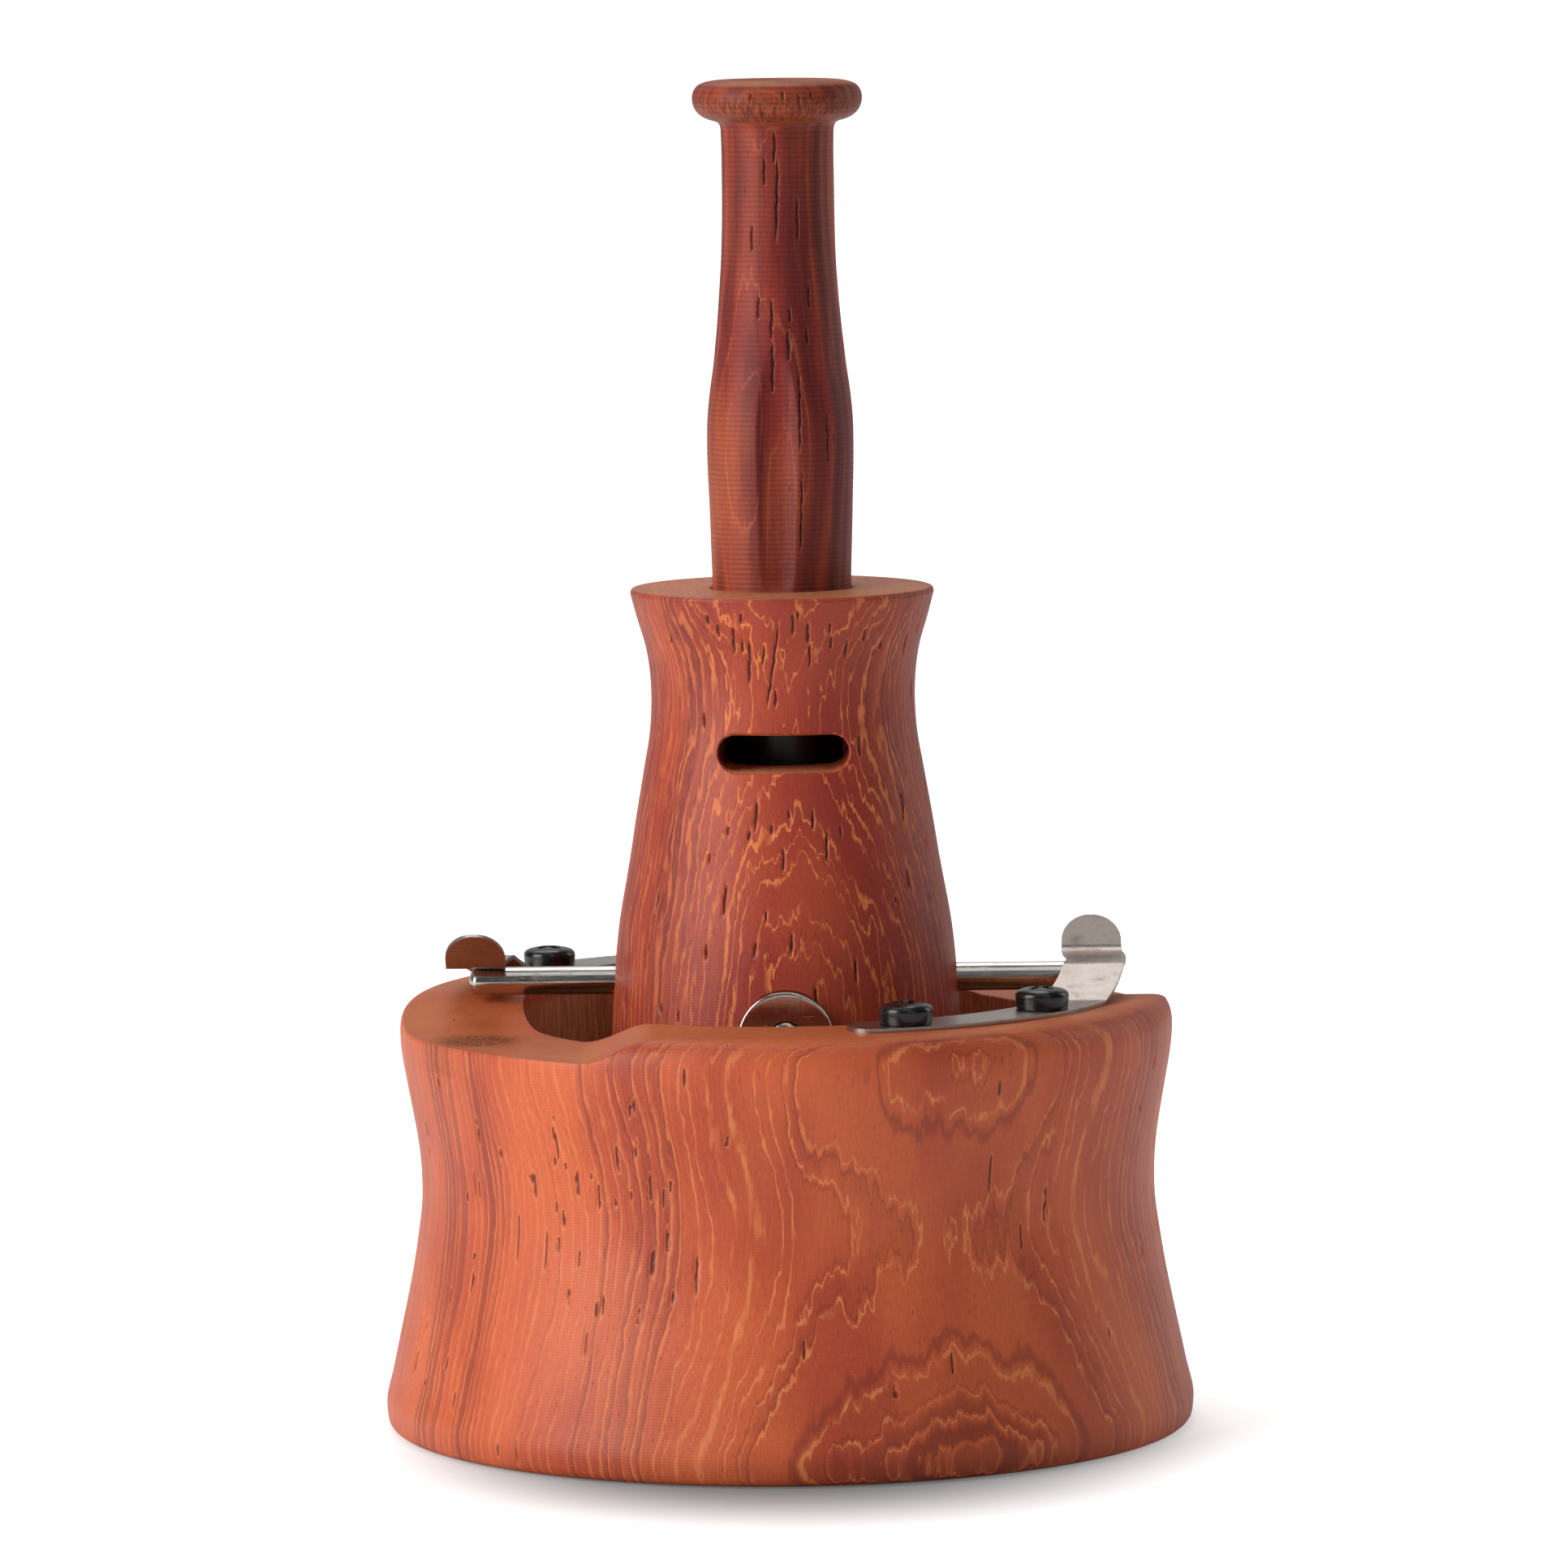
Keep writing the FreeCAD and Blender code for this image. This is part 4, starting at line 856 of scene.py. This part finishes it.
def stem_profile():
    st = 0.14 / K
    p = corners([(4.74, 84.0), (4.74, 75.9), (7.35, 75.9), (7.35, 78.22), (5.95, 78.22), (5.95, 79.78),
                 (7.35, 79.78), (7.35, 85.22), (5.95, 85.22), (5.95, 86.78), (7.35, 86.78), (7.35, 89.6)],
                [0, .15, .4, .12, .12, .12, .12, .12, .12, .12, .12, 0], 0.7, 3)
    p += spline(STEM, st)
    p += spline(LIP, 0.14 / K)
    p += run((3.25, 139.4), (3.25, 84.0), 2.0)[1:]
    p += run((3.25, 84.0), (4.74, 84.0), 0.5)[1:]
    return p


stem_cracks = pores_field([
    (-93, 135.5, 3.5, .42, .02), (-91, 130.0, 9.0, .40, .03), (-97, 117.5, 4.5, .45, .02),
    (-96.5, 112.5, 5.5, .55, .02), (-82, 114.8, 3.4, .5, -.02), (-80, 118.0, 1.6, .4, 0),
    (-73.6, 97.5, 9.0, .30, .02), (-74, 108.0, 9.0, .36, .02), (-60, 120.0, 3.0, .4, 0),
    (-64, 115.8, 2.0, .45, 0), (-110, 118.8, 2.6, .4, 0), (-118, 126.0, 3.0, .36, 0),
    (-70, 128.0, 5.0, .34, 0), (-104, 133.0, 3.2, .34, 0), (-50, 105.0, 6.0, .34, 0),
    (30, 120.0, 8.0, .4, 0), (80, 110.0, 10.0, .4, 0), (140, 125.0, 7.0, .4, 0), (170, 100.0, 9.0, .4, 0),
    (-86, 141.0, 1.0, .35, 0), (-75, 140.6, 1.2, .35, 0), (-66, 141.0, .9, .3, 0), (-108, 140.8, 1.0, .3, 0)])


def flute_cut(TH, R, Z):
    """Radius left by the scooped flute on the front."""
    rf, D, top = 3.2, 9.8, 112.4
    r_eff = np.where(Z > top, np.sqrt(np.maximum(rf * rf - (Z - top) ** 2, 0.0)), rf)
    low = 90.2
    r_eff = np.where(Z < low, np.sqrt(np.maximum(rf * rf - (low - Z) ** 2, 0.0)), r_eff)
    ax, ay = -0.45 + 0.012 * (Z - 100.0), -D
    c = ax * np.cos(TH) + ay * np.sin(TH)
    disc = c * c - (ax * ax + ay * ay - r_eff ** 2)
    hit = np.where((disc > 0) & (c > 0), c - np.sqrt(np.maximum(disc, 0)), 99.0)
    return hit


def flute_ridge(TH, R, Z):
    """The broken fibres along the right-hand edge of the flute."""
    lim = flute_cut(TH, R, Z)
    right = (TH > math.radians(-91)) & (TH < math.radians(-55)) & (Z < 113.5) & (Z > 89) & (R > 5.4)
    return np.where(right, np.exp(-((np.minimum(lim, 20) - R) / 0.22) ** 2), 0.0)


def stem_shape(TH, R, Z):
    outer = (Z > 88.4) & (R > 5.4) & (Z < 142.0)
    lim = flute_cut(TH, R, Z)
    k = 0.10
    soft = -k * np.log(np.exp(-R / k) + np.exp(-np.minimum(lim, 30) / k))
    R2 = np.where(outer & (lim < 20), soft, R)
    R2 = np.where(outer, R2 - stem_cracks(TH, R, Z) * 0.17, R2)
    body = (Z > 88.4) & (Z < 137.4) & (R > 5.4)
    R2 = R2 + np.where(body, 0.006 * np.sin(Z * 2 * math.pi / 0.56) - 0.004, 0.0)
    R2 = R2 + np.where(body, 0.018 * np.sin(5 * TH + Z * 0.35) * smooth01((Z - 92) / 6), 0.0)
    return R2, Z


o = lathe("turned_mouthpiece", stem_profile(), 420, stem_shape, closed=True,
          attrs={"pore": lambda T, R, Z: np.where((Z > 88.4) & (R > 5.4) & (Z < 142.0), stem_cracks(T, R, Z), 0),
                 "endg": lambda T, R, Z: smooth01((R - 6.3) / 0.5) * smooth01((Z - 137.4) / 0.4) *
                 smooth01((141.3 - Z) / 1.2),
                 "edge": lambda T, R, Z: np.clip(np.exp(-((R - 8.7) ** 2 + (Z - 140.4) ** 2) / 1.2) * 0.8, 0, 1),
                 "lite": flute_ridge, "scuff": lambda T, R, Z: np.zeros_like(T)})
tidy(o)
sharpen(o, 50)
mouth = finish_piece(o, M_STEM, "mouthpiece", "stem_wood", "mouthpiece")


# ===================================================================== strips
def strip_z(y):
    """Height of the middle of the sheet over the rim, with round bends."""
    pts = [(-60.0, 0.0), (-13.5, 0.0), (-5.2, 3.10), (4.6, 3.10), (4.6 + 7 * math.cos(math.radians(55)),
           3.10 + 7 * math.sin(math.radians(55)))]
    rad = 2.2
    for k in range(1, 4):
        (x0, z0), (x1, z1), (x2, z2) = pts[k - 1], pts[k], pts[k + 1]
        a0 = math.atan2(z1 - z0, x1 - x0)
        a1 = math.atan2(z2 - z1, x2 - x1)
        back = rad * math.tan(abs(a1 - a0) / 2)
        ys, ye = x1 - back * math.cos(a0), x1 + back * math.cos(a1)
        if ys <= y <= ye:
            side = 1 if a1 > a0 else -1
            cx = ys - side * rad * math.sin(a0)
            cz = (z1 - back * math.sin(a0)) + side * rad * math.cos(a0)
            dz = math.sqrt(max(rad * rad - (y - cx) ** 2, 0))
            zz = cz - side * dz
            slope = side * (y - cx) / max(dz, 1e-6)
            return zz, math.atan(slope)
        if y < ys:
            return z0 + (y - x0) * math.tan(a0), a0
    (x0, z0), (x1, z1) = pts[-2], pts[-1]
    a = math.atan2(z1 - z0, x1 - x0)
    return z0 + (y - x0) * math.tan(a), a


def strip_piece(name, part, turn_deg):
    """The curved strip, as rows across it; part is base or tongue."""
    mid, w, t = 32.9, 6.3, 0.45
    hw = w / 2
    fold, tab = 4.6, math.radians(55)
    runl = 4.6 * math.cos(tab)
    split = -14.0
    rows = []
    nb = 14
    if part == "base":
        a0 = math.radians(-74.5)
        # rounded start
        for i in range(1, 9):
            s = math.sin(math.pi / 2 * i / 8)
            k = (1 - math.cos(math.pi / 2 * i / 8))
            aa = a0 - (1 - k) * 0.42 * w / mid
            rows.append(("arc", aa, hw * math.sqrt(max(1 - (1 - k) ** 2, 0.0))))
        n = 46
        for i in range(1, n + 1):
            rows.append(("mix", i / n))
    else:
        rows.append(("tongue", 0))
    verts = []
    grid = []

    def p3(x, y):
        zc, sl = strip_z(y)
        return x, y, zc, sl

    def add_row(pts):
        grid.append(pts)

    if part == "base":
        for kind, *v in rows:
            if kind == "arc":
                aa, h_ = v
                add_row([((mid + h_ * (2 * j / nb - 1)) * math.cos(aa),
                          (mid + h_ * (2 * j / nb - 1)) * math.sin(aa)) for j in range(nb + 1)])
            else:
                u = v[0]
                pts = []
                for j in range(nb + 1):
                    r = mid - hw + w * j / nb
                    a_end = math.asin(split / r)
                    a = math.radians(-74.5) + (a_end - math.radians(-74.5)) * u
                    pts.append((r * math.cos(a), r * math.sin(a)))
                add_row(pts)
    else:
        ys0 = split + 0.06
        n = 70
        for i in range(n + 1):
            yy = ys0 + (fold - ys0) * i / n
            add_row([((mid - hw + w * j / nb), yy, "y") for j in range(nb + 1)])
        ri, ro = mid - hw, mid + hw
        xi, xo = math.sqrt(ri ** 2 - fold ** 2), math.sqrt(ro ** 2 - fold ** 2)
        cx, hx = (xi + xo) / 2, (xo - xi) / 2
        ry = min(hx * math.cos(tab), runl - 0.2)
        ystr = fold + runl - ry
        for i in range(1, 4):
            yy = fold + (ystr - fold) * i / 3
            add_row([(cx - hx + 2 * hx * j / nb, yy) for j in range(nb + 1)])
        for i in range(1, 13):
            a = math.pi / 2 * i / 13
            yy = ystr + ry * math.sin(a)
            h_ = hx * math.cos(a)
            add_row([(cx - h_ + 2 * h_ * j / nb, yy) for j in range(nb + 1)])
    out_top, out_bot = [], []
    for pts in grid:
        for q in pts:
            if len(q) == 3:
                r, yy = q[0], q[1]
                xx = math.sqrt(r * r - yy * yy)
            else:
                xx, yy = q
            zc, sl = strip_z(yy)
            zc += RIM + t / 2
            ny, nz = -math.sin(sl), math.cos(sl)
            out_top.append((xx, yy + ny * t / 2, zc + nz * t / 2))
            out_bot.append((xx, yy - ny * t / 2, zc - nz * t / 2))
    m = nb + 1
    k = len(grid)
    V = out_top + out_bot
    off = len(out_top)
    F = []
    for i in range(k - 1):
        for j in range(nb):
            a = i * m + j
            F.append((a, a + 1, a + 1 + m, a + m))
            F.append((off + a + m, off + a + 1 + m, off + a + 1, off + a))
    for i in range(k - 1):
        for j in (0, nb):
            a = i * m + j
            q = (a, a + m, off + a + m, off + a)
            F.append(q if j == 0 else q[::-1])
    for i in (0, k - 1):
        for j in range(nb):
            a = i * m + j
            q = (a, off + a, off + a + 1, a + 1)
            F.append(q if i == 0 else q[::-1])
    V = np.array(V)
    c, s = math.cos(math.radians(turn_deg)), math.sin(math.radians(turn_deg))
    V = np.stack([V[:, 0] * c - V[:, 1] * s, V[:, 0] * s + V[:, 1] * c, V[:, 2]], -1)
    o = new_object(name, V * MM, F)
    tidy(o)
    return o


def soften(o, width=0.07, segs=2, deg=40):
    b = o.modifiers.new("edge", "BEVEL")
    b.width = width * MM
    b.segments = segs
    b.limit_method = "ANGLE"
    b.angle_limit = math.radians(deg)
    b.harden_normals = False
    return o


def strip_holes(o, turn_deg):
    tools = []
    for a in (-68.0, -36.0):
        t = math.radians(a + turn_deg)
        c = lathe("hole_cutter", [(0, RIM - 2), (1.5, RIM - 2), (1.5, RIM + 3), (0, RIM + 3)], 48, None,
                  offset=(32.9 * math.cos(t), 32.9 * math.sin(t), 0))
        tools.append(tidy(c))
    return carve(o, tools)


for side, turn in (("right", 0.0), ("left", 177.0)):
    o = strip_piece("%s_spring_base" % side, "base", turn)
    strip_holes(o, turn)
    sharpen(o, 40)
    soften(o)
    finish_piece(o, M_STRIP, "stand", "spring_steel", "%s_strip_base" % side)
    o = strip_piece("%s_spring_tongue" % side, "tongue", turn)
    sharpen(o, 40)
    soften(o)
    finish_piece(o, M_STRIP, "%s_tongue" % side, "spring_steel", "%s_strip_tongue" % side)


# ===================================================================== screws
def screw(name, ang_deg, spin):
    t = math.radians(ang_deg)
    cx, cy, z0 = 32.9 * math.cos(t), 32.9 * math.sin(t), RIM + 0.45
    prof = [(0, -9.0)] + run((0.6, -9.0), (1.35, -7.4), 0.4)
    # thread on the hidden shank
    zz = -7.3
    while zz < -0.6:
        prof += [(1.33, zz), (1.10, zz + 0.20), (1.33, zz + 0.42)]
        zz += 0.5
    prof += [(1.35, -0.3), (1.35, 0.0)]
    prof += corners([(1.35, 0.0), (2.68, 0.0), (2.79, 1.3)], [0, .12, 0], 0.4, 3)[1:]
    prof += spline([(2.79, 1.34), (2.74, 1.62), (2.56, 1.86), (2.22, 2.04), (1.6, 2.19), (1.0, 2.27), (0.5, 2.3)],
                   0.08)[1:]
    prof += [(0, 2.3)]
    o = lathe(name, prof, 96, None, offset=(cx, cy, z0))
    tidy(o)
    tools = []
    for k in (0, 1):
        a = math.radians(spin + 90 * k)
        # tapered wing of the cross recess
        L, Wd = 1.78, 0.46
        box_pts = []
        for z, s in ((1.0, 0.55), (3.0, 1.22)):
            for sx, sy in ((-1, -1), (1, -1), (1, 1), (-1, 1)):
                x, y = sx * L * s / 1.1, sy * Wd * (0.7 + 0.3 * s)
                box_pts.append((x * math.cos(a) - y * math.sin(a) + cx, x * math.sin(a) + y * math.cos(a) + cy,
                                z + z0))
        f = [(3, 2, 1, 0), (4, 5, 6, 7), (0, 1, 5, 4), (1, 2, 6, 5), (2, 3, 7, 6), (3, 0, 4, 7)]
        c = new_object("wing_cutter", np.array(box_pts) * MM, f, smooth=False)
        tools.append(tidy(c))
    carve(o, tools)
    sharpen(o, 38)
    soften(o, 0.05, 2, 38)
    return o


for side, turn in (("right", 0.0), ("left", 177.0)):
    for where, ang, spin in (("front", -68.0, 22.0), ("rear", -36.0, 40.0)):
        o = screw("%s_%s_pan_screw" % (side, where), ang + turn, spin)
        finish_piece(o, M_SCREW, "stand", "black_screw", "%s_strip_%s_screw" % (side, where))

# ======================================================================= rod
rod_prof = [(0, -33.6)] + spline([(0.12, -33.59), (0.55, -33.53), (1.05, -33.33), (1.38, -33.08), (1.5, -32.8)], 0.1)
rod_prof += run((1.5, -32.8), (1.5, 33.8), 1.5)[1:]
rod_prof += spline([(1.5, 33.8), (1.38, 34.08), (1.05, 34.33), (0.55, 34.53), (0.12, 34.59)], 0.1)[1:] + [(0, 34.6)]
o = lathe("round_crossrod", rod_prof, 96, None, axis="x", offset=(0, 0, 47.35))
finish_piece(tidy(o), M_ROD, "call", "rod_steel", "crossrod")

# ================================================================ front disc
dp = corners([(1.0, 0.3), (1.0, 0.0), (5.0, 0.0), (5.0, 1.0), (1.95, 1.0), (1.0, 0.32), (1.0, 0.3)],
             [0, 0, .08, .22, .06, 0, 0], 0.3, 5)
o = lathe("plated_front_disc", dp, 128, None, closed=True, axis="-y", offset=(-0.1, -17.9, 43.2))
tidy(o)
sharpen(o, 40)
finish_piece(o, M_DISC, "call", "plated_disc", "front_disc")

sp = [(0, -7.0), (0.4, -7.0), (0.93, -5.9), (0.93, 0.27)]
sp += run((0.95, 0.28), (1.72, 0.97), 0.2)
sp += spline([(1.74, 1.02), (1.2, 1.17), (0.6, 1.27), (0.1, 1.30)], 0.12)[1:] + [(0, 1.3)]
o = lathe("disc_centre_screw", sp, 72, None, axis="-y", offset=(-0.1, -17.9, 43.2))
tidy(o)
v = []
for dy in (-0.72, -2.5):
    for sx, sz in ((-1, -1), (1, -1), (1, 1), (-1, 1)):
        v.append((-0.1 + sx * 2.4, -17.9 + dy, 43.2 + sz * 0.24))
c = new_object("slot_blade", np.array(v) * MM, [(3, 2, 1, 0), (4, 5, 6, 7), (0, 1, 5, 4), (1, 2, 6, 5),
                                               (2, 3, 7, 6), (3, 0, 4, 7)], smooth=False)
carve(o, [tidy(c)])
sharpen(o, 38)
finish_piece(o, M_DISC, "call", "plated_disc", "front_disc_screw")

# ============================================================== inner pieces
for n, mat in (("upper_oring", M_SEAL), ("lower_oring", M_SEAL), ("tone_board", M_BOARD), ("reed", M_REED),
               ("reed_wedge", M_CORK)):
    paint(nodes[n], mat)
    nodes[n].data.shade_smooth() if "oring" in n else None
    if "oring" not in n:
        soften(nodes[n], 0.10, 2, 35)


# ============================================================= stage and light
def floor_piece():
    g = Graph("floor_paper")
    p, x, y, z = g.coords()
    n1 = g.noise(g.scaled(x, y, z, 0.02, 0.02, 0.02, 1.0), 1.0, 2.0)
    # painted contact shadow: the paper's colour and glow are darkened softly round the foot, most in front of it
    xx = g.m("MULTIPLY", x, 1.2)
    yy = g.m("ADD", y, 14.0)
    q = g.m("SQRT", g.m("ADD", g.m("MULTIPLY", xx, xx), g.m("MULTIPLY", yy, yy)))
    painted_contact_shadow = g.step(q, 26.0, 62.0, 0.18, 1.0)
    c = g.mix(n1, (0.90, 0.90, 0.90, 1), (0.93, 0.93, 0.93, 1))
    # the painted contact shadow darkens the paper colour
    c = g.mix(1.0, c, g.vec(painted_contact_shadow, painted_contact_shadow, painted_contact_shadow), "MULTIPLY")
    mat = g.shader(c, 0.75, 0.0, None, 0.1)
    bs = mat.node_tree.nodes["Principled BSDF"]
    bs.inputs["Emission Color"].default_value = (1, 1, 1, 1)
    lp = g.new("ShaderNodeLightPath")
    far = g.step(y, 60.0, 900.0, 0.42, 0.80)
    # the same painted contact shadow dims the paper's glow
    g.put(bs, "Emission Strength", g.m("MULTIPLY", g.m("MULTIPLY_ADD", lp.outputs["Is Camera Ray"], far, 0.16), painted_contact_shadow))
    pts = []
    ys = [-1.6] + list(np.linspace(-1.5, 1.2, 16))
    prof = [(yy, 0.0) for yy in ys]
    for i in range(1, 13):
        a = math.pi / 2 * i / 12
        prof.append((1.2 + 0.6 * math.sin(a), 0.6 * (1 - math.cos(a))))
    prof.append((1.8, 2.4))
    for yy, zz in prof:
        for xx in (-2.2, 2.2):
            pts.append((xx, yy, zz))
    f = [(2 * i, 2 * i + 1, 2 * i + 3, 2 * i + 2) for i in range(len(prof) - 1)]
    o = new_object("studio_sweep", np.array(pts), f)
    paint(o, mat)
    return o


floor_piece()


def area(name, loc, target, size, power, color=(1, 1, 1), size_y=None):
    li = bpy.data.lights.new(name, "AREA")
    li.shape = "RECTANGLE"
    li.size = size
    li.size_y = size_y or size
    li.energy = power
    li.color = color
    o = bpy.data.objects.new(name, li)
    o.location = loc
    d = Vector(target) - Vector(loc)
    o.rotation_euler = d.to_track_quat("-Z", "Y").to_euler()
    col.objects.link(o)
    return o


area("key_left", (-0.75, -0.42, 0.40), (0, 0, 0.06), 0.60, 8.2, (1.0, 0.985, 0.965), 0.75)
area("fill_front", (0.45, -1.1, 0.55), (0, 0, 0.06), 0.7, 0.9, (1, 1, 1))
area("rim_right", (0.70, 0.30, 0.35), (0, 0, 0.07), 0.30, 0.9, (1.0, 0.99, 0.97), 0.5)
area("top_front", (0.05, -0.45, 1.0), (0, 0, 0.07), 0.6, 1.0, (1, 1, 1))
area("top_back", (-0.15, 0.45, 0.95), (0, 0, 0.08), 0.7, 3.4, (1, 1, 1))

world = bpy.data.worlds.new("studio")
bpy.context.scene.world = world
world.use_nodes = True
bg = world.node_tree.nodes["Background"]
bg.inputs[0].default_value = (1.0, 1.0, 1.0, 1)
bg.inputs[1].default_value = 0.10
bpy.context.scene.view_settings.view_transform = "Standard"

# ==================================================================== camera
cam = bpy.data.cameras.new("view_camera")
cam.sensor_width = 36.0
cam.lens = 11712.0 / 1932.0 * 36.0
cam.clip_start = 0.02
cam.clip_end = 20.0
co = bpy.data.objects.new("view_camera", cam)
pitch = math.radians(5.84)
roll = math.radians(0.60)
fwd = Vector((0, math.cos(pitch), -math.sin(pitch)))
right = Vector((1, 0, 0))
up = Vector((0, math.sin(pitch), math.cos(pitch)))
r2 = right * math.cos(roll) - up * math.sin(roll)
u2 = up * math.cos(roll) + right * math.sin(roll)
rot = Matrix((r2, u2, -fwd)).transposed()
co.matrix_world = Matrix.Translation(Vector((0.0, -1.00080, 0.17040))) @ rot.to_4x4()
col.objects.link(co)
bpy.context.scene.camera = co
